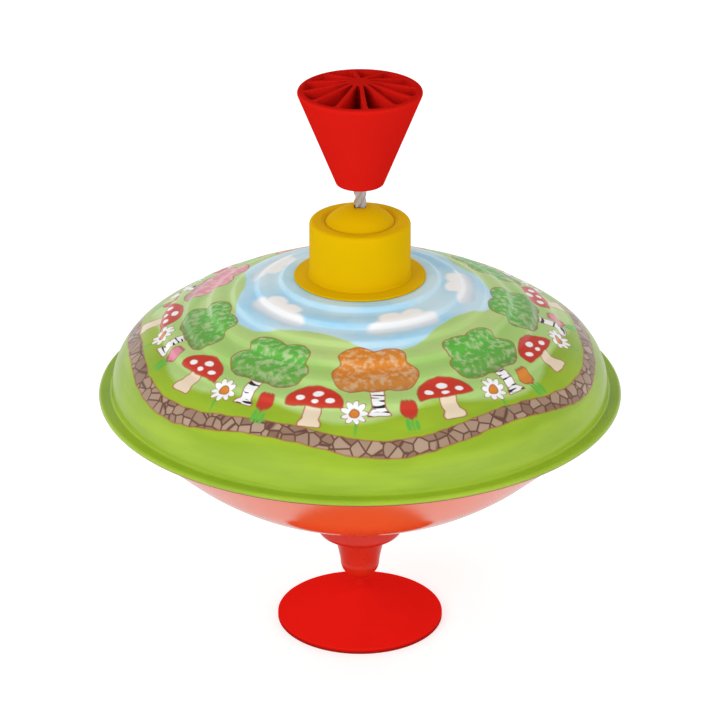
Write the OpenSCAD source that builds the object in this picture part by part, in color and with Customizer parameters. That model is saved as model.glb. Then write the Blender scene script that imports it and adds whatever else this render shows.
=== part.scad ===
// Musical spinning top with a pump handle.
// A tin body turns on a spindle above its foot. A twisted square rod drives it through a nut
// and a one-way clutch in the collar, and reeds inside the body sound as it turns.
// Millimetres, +Z up, origin on the floor at the centre of the foot.

/* [Foot] */
// Diameter of the foot
foot_d = 61.6; // [54:0.2:72]
// Height of the foot at the sleeve
foot_h = 12.8; // [10:0.2:16]
// How far the upper face lies below a straight cone
foot_dish = 0.8; // [0:0.1:1.5]
// Height of the outer edge
foot_edge_h = 2.2; // [1.4:0.1:2.6]
// Rounding of the outer edge
foot_edge_r = 0.5; // [0.2:0.1:0.6]
// Wall over the hollow underside
foot_wall = 2; // [1.4:0.1:2.4]
// Width of the flat ring that stands on the floor
foot_ring_w = 3; // [2:0.2:5]
// Number of ribs in the hollow underside
foot_ribs = 8; // [4:1:12]
// Thickness of these ribs
foot_rib_t = 1.4; // [1:0.1:2]
// Diameter of the boss that holds the spindle
foot_boss_d = 9; // [7:0.5:12]
// Height of ribs and boss above the floor
foot_rib_lift = 1; // [0.5:0.1:2]
// Diameter of the sleeve round the spindle
sleeve_d = 3.5; // [3.2:0.1:4.4]
// Fillet at the root of the sleeve
sleeve_root_r = 0.6; // [0.3:0.1:1]
// Length of sleeve between foot and neck
sleeve_gap = 3.5; // [2:0.1:6]

/* [Spindle] */
// Diameter of the spindle
pin_d = 2.2; // [1.8:0.1:2.6]
// Floor left under the spindle in its boss
pin_floor = 1.2; // [0.8:0.1:2]
// Depth of the groove for the clip
pin_groove = 0.35; // [0.2:0.05:0.5]
// Width of the clip beyond the spindle
clip_w = 1.4; // [1:0.1:1.8]
// Thickness of the clip
clip_t = 0.6; // [0.4:0.1:1]
// Length of the bearing bush
bush_l = 9; // [6:0.5:12]
// Thickness of the thrust plate
thrust_t = 1.5; // [1:0.1:3]
// Height of the thrust plate above the underside of the step ring
thrust_lift = 1; // [0:0.1:2]
// Ledge under the thrust plate
thrust_ledge = 0.75; // [0.5:0.05:1]

/* [Neck] */
// Diameter of the neck at the rounded end
neck_low_d = 14.5; // [13:0.1:18]
// Diameter of the neck under the ring
neck_top_d = 19; // [15:0.2:24]
// Height of the neck from its tip to the ring
neck_h = 18.9; // [18:0.1:26]
// Height of the rounded end
neck_end_h = 7.1; // [5:0.1:9]
// Fillet between neck and ring
neck_fillet = 1.2; // [0.5:0.1:2]
// Floor of the neck under the bush
neck_floor = 3; // [2.4:0.1:4]
// Diameter of the step ring
ring_d = 31.9; // [28:0.1:40]
// Height of the step ring
ring_h = 12.8; // [8:0.1:16]
// Rounding of the ring's lower edge
ring_edge_r = 2.95; // [1:0.05:4]
// Diameter of the spigot that passes into the bowl
spigot_d = 19; // [16:0.5:22]
// Length of spigot above its lock ring
spigot_over = 1.5; // [1:0.1:3]

/* [Tin body] */
// Diameter across the rim
body_d = 190; // [170:1:210]
// Thickness of the tinplate
tin_t = 0.5; // [0.3:0.05:0.7]
// Depth of the bowl, from its seat to the underside of the rim
bowl_h = 45.2; // [42:0.2:52]
// Slope of the bowl's flank
flank_a = 42.6; // [40:0.2:46]
// Length of the straight part of the flank
flank_l = 27; // [20:1:40]
// Flat of the bowl beyond the step ring
bowl_seat_w = 0.9; // [0.5:0.1:3]
// Height of the rolled rim
rim_h = 2.3; // [2.2:0.1:3.2]
// Width of the ledge round the dome's wall
rim_w = 4.65; // [4:0.05:7]
// Width of the hem under the rim
hem_w = 3; // [2.2:0.1:3.6]
// Open line between the hem and the bowl
hem_gap = 0.5; // [0.2:0.1:1]
// Fillet between the rim and the dome's wall
rim_fillet = 1.5; // [0.8:0.1:2.5]
// Height of the crown above the underside of the rim
dome_h = 45.1; // [38:0.1:50]
// Slope of the dome beside the collar
crown_a = 14.4; // [10:0.1:18]
// Slope of the dome's wall
wall_a = 88; // [84:0.5:89]
// Radius of the dome's shoulder
shoulder_r = 22; // [15:0.2:26]
// Flat of the crown beyond the collar's flange
crown_seat_w = 1.3; // [0.5:0.1:3]
// Spacing of the pressed rings
press_pitch = 8.6; // [6:0.1:12]
// Width of the steep side of a pressed ring
press_riser = 2; // [1.5:0.1:3]
// Depth of a pressed ring
press_depth = 1.2; // [0.3:0.1:1.4]
// Tread before the first pressed ring
press_lead = 2.6; // [1:0.1:5]

/* [Air] */
// Number of holes that let air into the reed drum
inlets = 8; // [4:1:12]
// Diameter of these holes
inlet_d = 4.5; // [3:0.1:6]
// Number of holes that let air out
outlets = 12; // [6:1:18]
// Diameter of these holes
outlet_d = 3.5; // [2:0.1:5]
// Distance of the outlets beyond the drum
outlet_off = 13; // [6:0.5:16]

/* [Reeds] */
// Diameter of the reed drum
drum_d = 58; // [52:0.5:66]
// Height of the drum above its gasket
drum_h = 12; // [8:0.5:18]
// Wall of the drum
drum_wall = 1.6; // [1.2:0.1:2.5]
// Number of walls between the drum's sleeve and rim
drum_webs = 4; // [2:1:8]
// Thickness of the gasket
gasket_t = 1; // [0.5:0.1:2]
// Thickness of the reed plate
plate_t = 1.2; // [0.8:0.1:2]
// Number of reeds
reed_count = 8; // [4:1:10]
// Width of a reed
reed_w = 2.2; // [1.6:0.1:3]
// Thickness of a reed
reed_t = 0.3; // [0.2:0.05:0.5]
// Length of the longest reed
reed_l = 11; // [8:0.5:12]
// Length lost from each reed to the next
reed_drop = 0.4; // [0.1:0.05:0.5]
// Length of a reed's fixed foot
reed_foot = 3; // [2:0.1:4]
// Room round a reed in its slot
reed_room = 0.25; // [0.1:0.05:0.5]
// Diameter of a rivet
rivet_d = 1.2; // [0.8:0.1:1.4]
// Diameter of a rivet's heads
rivet_head_d = 2; // [1.6:0.1:2.4]
// Height of a rivet's head
rivet_head_h = 0.5; // [0.3:0.1:1]
// Room between the neck's lock ring and the tips of the reeds
lock_room = 0.5; // [0.3:0.1:1.2]
// Thickness of the push-on lock rings
lock_t = 1.2; // [0.8:0.1:2]

/* [Collar] */
// Diameter of the collar at its top
collar_d = 36.3; // [34:0.1:44]
// How much wider the collar is at its foot
collar_draft = 0.1; // [0:0.1:1]
// Height of the collar above the crown
collar_h = 21.8; // [20:0.2:28]
// Wall of the collar
collar_wall = 2.6; // [2.4:0.1:3.4]
// Rounding of the top edge
collar_edge_r = 1.5; // [0.5:0.1:2]
// Height of the step low on the wall, above the flange
collar_step_h = 2.2; // [1:0.2:5]
// Depth of that step
collar_step = 0.1; // [0.05:0.05:0.3]
// Width of the flange
flange_w = 5.55; // [5:0.05:8]
// Thickness of the flange at its edge
flange_edge_h = 0.8; // [0.6:0.1:1]
// Thickness of the flange at the collar
flange_root_h = 1.2; // [1.1:0.1:3]
// Fillet between flange and collar
flange_fillet = 0.6; // [0.3:0.1:1]
// Width of the ring round the nut's dome
lip_w = 5.7; // [4:0.1:6.4]
// Thickness of that ring
lip_t = 2.3; // [1.6:0.1:3]
// Rounding of that ring's inner edge
lip_edge_r = 0.8; // [0.3:0.1:1.2]
// Wall of the spigot that passes through the crown
collar_spigot_wall = 1.5; // [1:0.1:2]
// Length of that spigot below the crown
collar_spigot_l = 5; // [3:0.2:9]

/* [Clutch] */
// Height of the nut's dome above the collar
nut_dome_h = 5.4; // [4:0.1:8]
// Height of the nut's skirt under the lip
nut_skirt_h = 5; // [4:0.1:7]
// Wall of the nut's skirt
nut_wall = 5; // [3:0.1:6]
// Solid depth of the nut below the collar's top
nut_crown_t = 4; // [3:0.1:5]
// Number of saw teeth on each half of the clutch
teeth = 12; // [8:1:16]
// Height of a tooth
tooth_h = 1.2; // [0.8:0.1:1.6]
// Thickness of the clutch ring under its teeth
clutch_t = 4; // [3.4:0.1:6]
// Depth of the tube's seat in the clutch ring
tube_seat = 2; // [1:0.1:2.4]
// Thickness of the snap ring under the clutch ring
retainer_t = 1; // [0.6:0.1:1.6]
// Width of the snap ring inside the collar
retainer_w = 3; // [2:0.1:4]
// Depth of the snap ring's groove
retainer_groove = 0.7; // [0.4:0.1:1]

/* [Rod] */
// Side of the square rod
rod_w = 3.35; // [2.8:0.05:4]
// Chamfer of the rod's corners
rod_chamfer = 0.1; // [0.05:0.05:0.3]
// Rise of the rod in one turn
rod_lead = 15; // [12:0.5:30]
// Distance under the handle at which the rod's corners face sideways
rod_phase = 3.4; // [0:0.1:6]
// Rod that shows between the nut and the handle
rod_show = 8.5; // [4:0.25:16]
// Length of rod held in the handle
rod_shank = 28; // [20:0.5:33]
// Diameter of the tenon that carries the stop
tenon_d = 2.6; // [2:0.1:2.8]
// Length of the stop on the rod's lower end
stop_l = 6; // [4:0.5:10]
// Step of the stop beyond the rod's corners
stop_lip = 0.9; // [0.8:0.05:1.2]
// Wall of the guide tube
tube_wall = 0.8; // [0.5:0.05:1.2]

/* [Handle] */
// Diameter of the handle at its lower end
handle_end_d = 16.9; // [14:0.1:20]
// Diameter across the rim, before its rounding
handle_top_d = 45.4; // [38:0.2:54]
// Height of the handle up to its rim
handle_h = 35.4; // [34:0.2:46]
// Rounding of the rim
handle_rim_edge = 1.2; // [0.5:0.1:1.6]
// Rounding of the lower end
handle_end_edge = 0.8; // [0.3:0.1:1.5]
// Wall of the cone
handle_wall = 2; // [1.8:0.1:3]
// Floor of the handle
handle_floor = 6; // [4:0.5:12]
// Number of ribs
handle_ribs = 12; // [6:1:16]
// Thickness of a rib
handle_rib_t = 1.3; // [0.8:0.1:1.6]
// Height of the hub above the rim
hub_rise = 3; // [1:0.1:5]
// Wall of the hub round the rod
hub_wall = 1.4; // [1.2:0.1:2]
// Turn of the ribs about the axis
rib_turn = 6; // [0:1:30]

/* [Fits] */
// Gap between moving pieces
gap = 0.3; // [0.2:0.05:0.5]
// Running clearance of the spindle
run_fit = 0.05; // [0.02:0.01:0.08]
// Clearance between fixed pieces
seat_fit = 0.02; // [0.01:0.01:0.05]
// Clearance round the rod in the nut
thread_fit = 0.3; // [0.2:0.01:0.4]

/* [Hidden] */
$fn = 96;
curve_steps = 8;
twist_step = 8;
over = 1;

foot_r = foot_d / 2;
sleeve_r = sleeve_d / 2;
pin_r = pin_d / 2;
body_r = body_d / 2;
ring_r = ring_d / 2;
spigot_r = spigot_d / 2;
drum_r = drum_d / 2;
collar_r = collar_d / 2;

// Rod, stop and tube, from the inside out
rod_corner_r = rod_w / sqrt(2) - rod_chamfer / sqrt(2);
stop_r = rod_corner_r + stop_lip;
tube_bore_r = stop_r + gap;
tube_r = tube_bore_r + tube_wall;
clutch_bore_r = rod_corner_r + gap;

// Heights, from the floor up
neck_z = foot_h + sleeve_gap;
bush_z = neck_z + neck_floor;
clip_z = bush_z + bush_l + gap;
ring_z = neck_z + neck_h;
thrust_z = ring_z + thrust_lift;
tube_z = thrust_z + thrust_t + seat_fit;
seat_z = ring_z + ring_h;
rim_z = seat_z + bowl_h;
rim_top = rim_z + rim_h;
crown_z = rim_z + dome_h;
collar_top = crown_z + collar_h;
lip_z = collar_top - lip_t;
nut_top = collar_top + nut_dome_h;
skirt_top = lip_z - gap;
skirt_z = skirt_top - nut_skirt_h;
clutch_top = skirt_z - 2 * tooth_h - gap;
clutch_z = clutch_top - clutch_t;
tube_top = clutch_z + tube_seat;
handle_z = nut_top + rod_show;
handle_top = handle_z + handle_h;
hub_top = handle_top + hub_rise;
stop_z = tube_z + gap;

// Neck and bush
neck_low_r = neck_low_d / 2;
neck_top_r = neck_top_d / 2;
mouth_r = sleeve_r + gap;
bush_r = tube_r - thrust_ledge;
pin_z = foot_rib_lift + pin_floor;
pin_top = thrust_z - run_fit;
sleeve_top = bush_z - gap;
groove_r = pin_r - pin_groove;

// Bowl: flat seat, an arc that runs into the flank, the flank and a flange in the rolled rim
bowl_seat_r = ring_r + bowl_seat_w;
bowl_r = body_r - hem_w - hem_gap;
flank_dir = [cos(flank_a), sin(flank_a)];
flank_in = [-sin(flank_a), cos(flank_a)];
flank_top = [bowl_r, rim_z - hem_gap];
flank_foot = flank_top - flank_l * flank_dir;
bowl_chord = [bowl_seat_r, seat_z] - flank_foot;
bowl_arc_r = bowl_chord * bowl_chord / (2 * bowl_chord * flank_in);
bowl_centre = flank_foot + bowl_arc_r * flank_in;
bowl_flange_z = rim_top - 2 * tin_t - seat_fit;

// Dome: flat crown, a crown arc with pressed rings, a shoulder arc, the wall and the rolled rim
collar_low_r = collar_r + collar_draft / 2;
flange_r = collar_low_r + flange_w;
crown_seat_r = flange_r + crown_seat_w;
wall_r = body_r - rim_w;
wall_z = rim_top + rim_fillet;
crown_normal = [sin(crown_a), cos(crown_a)];
shoulder_centre = [wall_r, wall_z] - shoulder_r * [sin(wall_a), cos(wall_a)];
crown_chord = [crown_seat_r, crown_z] - shoulder_centre;
crown_arc_r = (crown_chord * crown_chord - shoulder_r * shoulder_r)
    / (2 * (crown_chord * crown_normal - shoulder_r));
crown_centre = [crown_seat_r, crown_z] - crown_arc_r * crown_normal;
crown_to_shoulder = shoulder_centre - crown_centre;
shoulder_a = atan2(crown_to_shoulder[0], crown_to_shoulder[1]);
crown_end_r = crown_centre[0] + crown_arc_r * sin(shoulder_a);
press_r = crown_seat_r + press_lead;
press_rings = floor((crown_end_r - press_r) / press_pitch);

// Reeds
drum_in_r = drum_r - drum_wall;
gasket_top = bowl_inside_z(drum_r) + gasket_t;
plate_z = gasket_top + seat_fit + drum_h;
reed_z = plate_z + plate_t;
neck_lock_z = reed_z + seat_fit;
spigot_top = neck_lock_z + lock_t + spigot_over;
drum_sleeve_r = spigot_r + seat_fit + drum_wall;
inlet_r = (ring_r + drum_in_r) / 2;
outlet_r = drum_r + outlet_off;
reed_end_r = drum_in_r - seat_fit;
rivet_r = reed_end_r - reed_foot / 2;

// Collar and clutch
cavity_r = collar_r - collar_wall;
lip_r = collar_r - lip_w;
collar_spigot_r = cavity_r + collar_spigot_wall;
collar_spigot_z = crown_z - collar_spigot_l;
retainer_z = clutch_z - retainer_t - seat_fit;
nut_r = lip_r - gap;
skirt_r = cavity_r - gap;
skirt_in_r = skirt_r - nut_wall;
nut_ball_r = (nut_r * nut_r + nut_dome_h * nut_dome_h) / (2 * nut_dome_h);
tooth_w = 2 * PI * skirt_in_r / teeth;

// Handle
handle_end_r = handle_end_d / 2;
handle_top_r = handle_top_d / 2;
handle_slope = (handle_top_r - handle_end_r) / handle_h;
hub_r = rod_corner_r + seat_fit + hub_wall;
rim_in_r = handle_top_r - handle_wall - handle_rim_edge / 2;

// Turn of the rod's section at height z: its corners point along X just under the handle
function rod_turn(z) = 45 + 360 * (z - handle_z + rod_phase) / rod_lead;

// Points on an arc about centre c, from angle a to angle b
function arc(c, r, a, b, n = curve_steps) =
    [for (i = [0:n]) c + r * [cos(a + (b - a) * i / n), sin(a + (b - a) * i / n)]];

function unit(v) = v / norm(v);

// A list of points without its first
function rest(points) = [for (i = [1:len(points) - 1]) points[i]];

// Direction of a path at point i, and the offset to one side of it that keeps a sheet's thickness
function step_dir(path, i) = unit(path[i + 1] - path[i]);
function joint_offset(path, i) =
    let (before = step_dir(path, max(i - 1, 0)),
         after = step_dir(path, min(i, len(path) - 2)),
         mean = unit(before + after))
    [-mean[1], mean[0]] / (mean * after);

// Outline of a sheet whose outer face follows path, with its thickness t to the left of the path
function sheet(path, t) =
    concat(path, [for (i = [len(path) - 1:-1:0]) path[i] + t * joint_offset(path, i)]);

// Height of the bowl's inner face at radius r, on its arc
function bowl_inside_z(r) =
    bowl_centre[1] - sqrt(pow(bowl_arc_r - tin_t, 2) - pow(r - bowl_centre[0], 2));

// Wave of the pressed rings: down over the steep side, up again over the tread
function press_wave(x) = x < press_riser
    ? cos(180 * x / press_riser)
    : -cos(180 * (x - press_riser) / (press_pitch - press_riser));
function press_fade(r) = min(1, (r - crown_seat_r) / press_lead, (crown_end_r - r) / press_pitch);
function crown_point(r, wave) =
    [r, crown_centre[1] + sqrt(pow(crown_arc_r, 2) - pow(r - crown_centre[0], 2))
        + press_depth / 2 * press_fade(r) * wave];

// Height of the foot's upper face at radius r
function foot_face_z(r) =
    let (t = (foot_r - foot_edge_r - r) / (foot_r - foot_edge_r - sleeve_r - sleeve_root_r))
    foot_edge_h + (foot_h - foot_edge_h) * t - 4 * foot_dish * t * (1 - t);

// Radius of the handle's cone at height z
function handle_r(z) = handle_end_r + handle_slope * (z - handle_z);

module lathe(outline) {
    rotate_extrude() polygon(outline);
}

module disc(r, z, h) {
    translate([0, 0, z]) cylinder(r = r, h = h);
}

module washer(r_out, r_in, z, h) {
    difference() {
        disc(r_out, z, h);
        disc(r_in, z - over, h + 2 * over);
    }
}

module ring_of(count, turn = 0) {
    for (i = [0:count - 1])
        rotate(turn + 360 * i / count) children();
}

// Square section of the rod, grown by room on every side
module rod_section(room) {
    h = rod_w / 2 + room;
    c = rod_chamfer;
    polygon([[h, c - h], [h, h - c], [h - c, h], [c - h, h],
             [-h, h - c], [-h, c - h], [c - h, -h], [h - c, -h]]);
}

// Stretch of twisted bar between two heights
module twisted_bar(z0, z1, room) {
    sweep = 360 * (z1 - z0) / rod_lead;
    translate([0, 0, z0]) rotate(rod_turn(z0))
        linear_extrude(height = z1 - z0, twist = -sweep, slices = ceil(sweep / twist_step), $fn = 8)
            rod_section(room);
}

// Saw teeth with their steep faces on a radius, pointing up (side 1) or down (side -1)
module saw_teeth(z, side) {
    intersection() {
        ring_of(teeth)
            translate([skirt_in_r - over, 0, z]) rotate([90, 0, 90])
                linear_extrude(height = nut_wall + 2 * over)
                    polygon([[0, -side * over], [side * tooth_w, -side * over],
                             [side * tooth_w, 0], [0, side * tooth_h]]);
        washer(skirt_r, skirt_in_r, z - tooth_h - over, 2 * (tooth_h + over));
    }
}

module foot_disc() {
    rim_hollow_r = foot_r - foot_ring_w;
    face_in_r = sleeve_r + sleeve_root_r;
    face = [for (i = [0:curve_steps]) foot_r - foot_edge_r
        - (foot_r - foot_edge_r - face_in_r) * i / curve_steps];
    hollow = [for (i = [0:curve_steps]) rim_hollow_r - (rim_hollow_r - face_in_r) * i / curve_steps];
    color("crimson") difference() {
        lathe(concat(
            [[0, 0]],
            arc([foot_r - foot_edge_r, foot_edge_r], foot_edge_r, -90, 0),
            arc([foot_r - foot_edge_r, foot_edge_h - foot_edge_r], foot_edge_r, 0, 90),
            [for (i = [1:curve_steps - 1]) [face[i], foot_face_z(face[i])]],
            arc([sleeve_r + sleeve_root_r, foot_h + sleeve_root_r], sleeve_root_r, 270, 180),
            [[sleeve_r, sleeve_top], [0, sleeve_top]]));
        difference() {
            lathe(concat(
                [[0, -over], [rim_hollow_r, -over]],
                [for (r = hollow) [r, foot_face_z(r) - foot_wall]],
                [[0, foot_h - foot_wall]]));
            disc(foot_boss_d / 2, foot_rib_lift, foot_h);
            ring_of(foot_ribs) translate([0, -foot_rib_t / 2, foot_rib_lift])
                cube([foot_r, foot_rib_t, foot_h]);
        }
        disc(pin_r + seat_fit, pin_z - seat_fit, foot_h + neck_h);
    }
}

module pivot_pin() {
    color("silver") difference() {
        union() {
            disc(pin_r, pin_z, pin_top - pin_r - pin_z);
            translate([0, 0, pin_top - pin_r]) sphere(r = pin_r);
        }
        washer(pin_r + over, groove_r, clip_z, clip_t);
    }
}

module pin_clip() {
    slot = pin_r;
    color("gray") difference() {
        washer(pin_r + clip_w, groove_r + seat_fit, clip_z + seat_fit, clip_t - 2 * seat_fit);
        translate([0, -slot / 2, clip_z]) cube([pin_r + clip_w + over, slot, clip_t]);
    }
}

module pivot_bush() {
    color("ivory") washer(bush_r, pin_r + run_fit, bush_z + seat_fit, bush_l);
}

module thrust_plate() {
    color("silver") disc(tube_r, thrust_z, thrust_t);
}

module neck_socket() {
    end_centre_z = neck_z + neck_end_h;
    mouth_a = acos(mouth_r / neck_low_r);
    color("crimson") lathe(concat(
        [for (i = [0:2 * curve_steps]) let (a = mouth_a * (1 - i / curve_steps / 2))
            [neck_low_r * cos(a), end_centre_z - neck_end_h * sin(a)]],
        arc([neck_top_r + neck_fillet, ring_z - neck_fillet], neck_fillet, 180, 90),
        arc([ring_r - ring_edge_r, ring_z + ring_edge_r], ring_edge_r, -90, 0),
        [[ring_r, seat_z], [spigot_r, seat_z], [spigot_r, spigot_top],
         [tube_r + seat_fit, spigot_top], [tube_r + seat_fit, thrust_z],
         [bush_r + seat_fit, thrust_z], [bush_r + seat_fit, bush_z], [mouth_r, bush_z]]));
}

module lower_shell() {
    seat_turn = [bowl_seat_r, seat_z] - bowl_centre;
    color("orangered") difference() {
        lathe(sheet(concat(
            [[spigot_r + seat_fit, seat_z]],
            arc(bowl_centre, bowl_arc_r, atan2(seat_turn[1], seat_turn[0]), flank_a - 90, 2 * curve_steps),
            [flank_top, [bowl_r, bowl_flange_z], [body_r - rim_h / 2, bowl_flange_z]]), tin_t));
        ring_of(inlets) translate([inlet_r, 0, 0]) disc(inlet_d / 2, seat_z - over, bowl_h);
        ring_of(outlets) translate([outlet_r, 0, 0]) disc(outlet_d / 2, seat_z - over, bowl_h);
    }
}

module upper_shell() {
    riser_steps = 4;
    tread_steps = 5;
    rings = [for (k = [0:press_rings - 1]) each concat(
        [for (i = [0:riser_steps - 1]) let (x = press_riser * i / riser_steps)
            crown_point(press_r + k * press_pitch + x, press_wave(x))],
        [for (i = [0:tread_steps - 1])
            let (x = press_riser + (press_pitch - press_riser) * i / tread_steps)
            crown_point(press_r + k * press_pitch + x, press_wave(x))])];
    path = concat(
        [[collar_spigot_r + seat_fit, crown_z], [crown_seat_r, crown_z]],
        rings,
        arc(shoulder_centre, shoulder_r, 90 - shoulder_a, 90 - wall_a, 2 * curve_steps),
        rest(arc([wall_r + rim_fillet, wall_z], rim_fillet, 180, 270)),
        arc([body_r - rim_h / 2, rim_z + rim_h / 2], rim_h / 2, 90, -90),
        [[body_r - hem_w, rim_z]]);
    color("yellowgreen") lathe(sheet(path, -tin_t));
}

module guide_tube() {
    color("silver") washer(tube_r, tube_bore_r, tube_z, tube_top - tube_z);
}

module drum_gasket() {
    color("dimgray") lathe([
        [drum_in_r, bowl_inside_z(drum_in_r) + run_fit], [drum_r, bowl_inside_z(drum_r) + run_fit],
        [drum_r, gasket_top], [drum_in_r, gasket_top]]);
}

module reed_drum() {
    base = gasket_top + seat_fit;
    color("white") union() {
        washer(drum_r, drum_in_r, base, drum_h);
        washer(drum_sleeve_r, spigot_r + seat_fit, seat_z + tin_t + seat_fit,
            plate_z - seat_z - tin_t - seat_fit);
        ring_of(drum_webs, 180 / reed_count)
            translate([drum_sleeve_r - drum_wall / 2, -drum_wall / 2, base])
                cube([drum_in_r - drum_sleeve_r + drum_wall, drum_wall, drum_h]);
    }
}

// Inner end of reed i
function reed_tip_r(i) = reed_end_r - reed_foot - reed_l + i * reed_drop;

module reed_plate() {
    color("lightgray") difference() {
        washer(drum_r, spigot_r + seat_fit, plate_z + seat_fit, plate_t - seat_fit);
        for (i = [0:reed_count - 1]) rotate(360 * i / reed_count) {
            slot_in = reed_tip_r(i) - reed_room;
            slot_w = reed_w + 2 * reed_room;
            translate([slot_in, -slot_w / 2, plate_z - over])
                cube([reed_end_r - reed_foot - slot_in, slot_w, plate_t + 2 * over]);
            translate([rivet_r, 0, 0]) disc(rivet_d / 2 + seat_fit, plate_z - over, plate_t + 2 * over);
        }
    }
}

module reeds() {
    color("gold") for (i = [0:reed_count - 1]) rotate(360 * i / reed_count) difference() {
        translate([reed_tip_r(i), -reed_w / 2, reed_z + seat_fit])
            cube([reed_end_r - reed_tip_r(i), reed_w, reed_t]);
        translate([rivet_r, 0, 0]) disc(rivet_d / 2 + seat_fit, reed_z - over, reed_t + 2 * over);
    }
}

module reed_rivets() {
    top = reed_z + 2 * seat_fit + reed_t;
    color("silver") ring_of(reed_count) translate([rivet_r, 0, 0]) {
        disc(rivet_d / 2, plate_z - rivet_head_h, top - plate_z + 2 * rivet_head_h);
        disc(rivet_head_d / 2, top, rivet_head_h);
        disc(rivet_head_d / 2, plate_z - rivet_head_h, rivet_head_h);
    }
}

module neck_lock_ring() {
    color("gray") washer(reed_tip_r(0) - lock_room, spigot_r + seat_fit, neck_lock_z, lock_t);
}

module collar() {
    step_z = crown_z + flange_root_h + collar_step_h;
    color("gold") lathe(concat(
        [[collar_spigot_r, collar_spigot_z], [collar_spigot_r, crown_z]],
        [[flange_r, crown_z], [flange_r, crown_z + flange_edge_h]],
        arc([collar_low_r - collar_step + flange_fillet, crown_z + flange_root_h + flange_fillet],
            flange_fillet, 270, 180),
        [[collar_low_r - collar_step, step_z], [collar_low_r, step_z + collar_step]],
        arc([collar_r - collar_edge_r, collar_top - collar_edge_r], collar_edge_r, 0, 90),
        arc([lip_r + lip_edge_r, collar_top - lip_edge_r], lip_edge_r, 90, 180),
        [[lip_r, lip_z], [cavity_r, lip_z], [cavity_r, clutch_z - seat_fit],
         [cavity_r + retainer_groove, clutch_z - seat_fit],
         [cavity_r + retainer_groove, retainer_z - seat_fit], [cavity_r, retainer_z - seat_fit],
         [cavity_r, collar_spigot_z]]));
}

module collar_lock_ring() {
    color("gray") washer(flange_r, collar_spigot_r + seat_fit,
        crown_z - tin_t - seat_fit - lock_t, lock_t);
}

module clutch_ring() {
    color("white") difference() {
        union() {
            disc(cavity_r - seat_fit, clutch_z, clutch_t);
            saw_teeth(clutch_top, 1);
        }
        disc(clutch_bore_r, clutch_z - over, clutch_t + 2 * over);
        disc(tube_r + seat_fit, clutch_z - over, tube_seat + over + seat_fit);
    }
}

module clutch_retainer() {
    color("gray") washer(cavity_r + retainer_groove - seat_fit, cavity_r - retainer_w,
        retainer_z, retainer_t);
}

module drive_nut() {
    hollow_top = collar_top - nut_crown_t;
    color("gold") difference() {
        union() {
            intersection() {
                translate([0, 0, nut_top - nut_ball_r]) sphere(r = nut_ball_r);
                disc(nut_r, skirt_top - over, nut_top);
            }
            disc(skirt_r, skirt_z, nut_skirt_h);
            saw_teeth(skirt_z, -1);
        }
        disc(skirt_in_r, skirt_z - over, hollow_top - skirt_z + over);
        twisted_bar(hollow_top - over, nut_top + over, thread_fit);
    }
}

module spiral_rod() {
    shank_z = handle_z + handle_end_edge;
    rod_z = stop_z + stop_l;
    color("silver") union() {
        twisted_bar(rod_z, shank_z, 0);
        translate([0, 0, shank_z]) rotate(rod_turn(shank_z))
            linear_extrude(height = rod_shank - handle_end_edge) rod_section(0);
        disc(tenon_d / 2, stop_z, shank_z - stop_z + over);
    }
}

module rod_stop() {
    color("gray") washer(stop_r, tenon_d / 2 + seat_fit, stop_z, stop_l - seat_fit);
}

module handle() {
    pocket_z = handle_z + handle_floor;
    shank_z = handle_z + handle_end_edge;
    cone_a = atan(handle_slope);
    low_centre = [handle_r(handle_z) - handle_end_edge * (1 / cos(cone_a) - tan(cone_a)),
                  handle_z + handle_end_edge];
    rim_centre = [handle_r(handle_top) - handle_rim_edge * (1 / cos(cone_a) + tan(cone_a)),
                  handle_top - handle_rim_edge];
    color("crimson") difference() {
        lathe(concat(
            [[0, handle_z]],
            arc(low_centre, handle_end_edge, -90, -cone_a),
            arc(rim_centre, handle_rim_edge, -cone_a, 90),
            [[rim_in_r, handle_top], [hub_r, hub_top], [0, hub_top]]));
        difference() {
            lathe([[hub_r - over, pocket_z], [handle_r(pocket_z) - handle_wall, pocket_z],
                   [rim_in_r, handle_top], [rim_in_r, hub_top + over], [hub_r - over, hub_top + over]]);
            disc(hub_r, handle_z, hub_top - handle_z + 2 * over);
            ring_of(handle_ribs, rib_turn - 90) translate([0, -handle_rib_t / 2, handle_z])
                cube([handle_top_r, handle_rib_t, hub_top - handle_z + 2 * over]);
        }
        disc(rod_corner_r + gap, handle_z - over, over + handle_end_edge);
        translate([0, 0, shank_z]) rotate(rod_turn(shank_z))
            linear_extrude(height = rod_shank - handle_end_edge + seat_fit) rod_section(seat_fit);
    }
}

foot_disc();
pivot_pin();
pin_clip();
pivot_bush();
thrust_plate();
neck_socket();
lower_shell();
upper_shell();
guide_tube();
drum_gasket();
reed_drum();
reed_plate();
reeds();
reed_rivets();
neck_lock_ring();
collar();
collar_lock_ring();
clutch_ring();
clutch_retainer();
drive_nut();
spiral_rod();
rod_stop();
handle();
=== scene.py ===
"""Finishes a pump-driven musical spinning top: finer shells, rod, collar, handle and foot over the
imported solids, the printed tin, and a plain studio. Metres, +Z up, origin on the floor under the spindle."""

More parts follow.
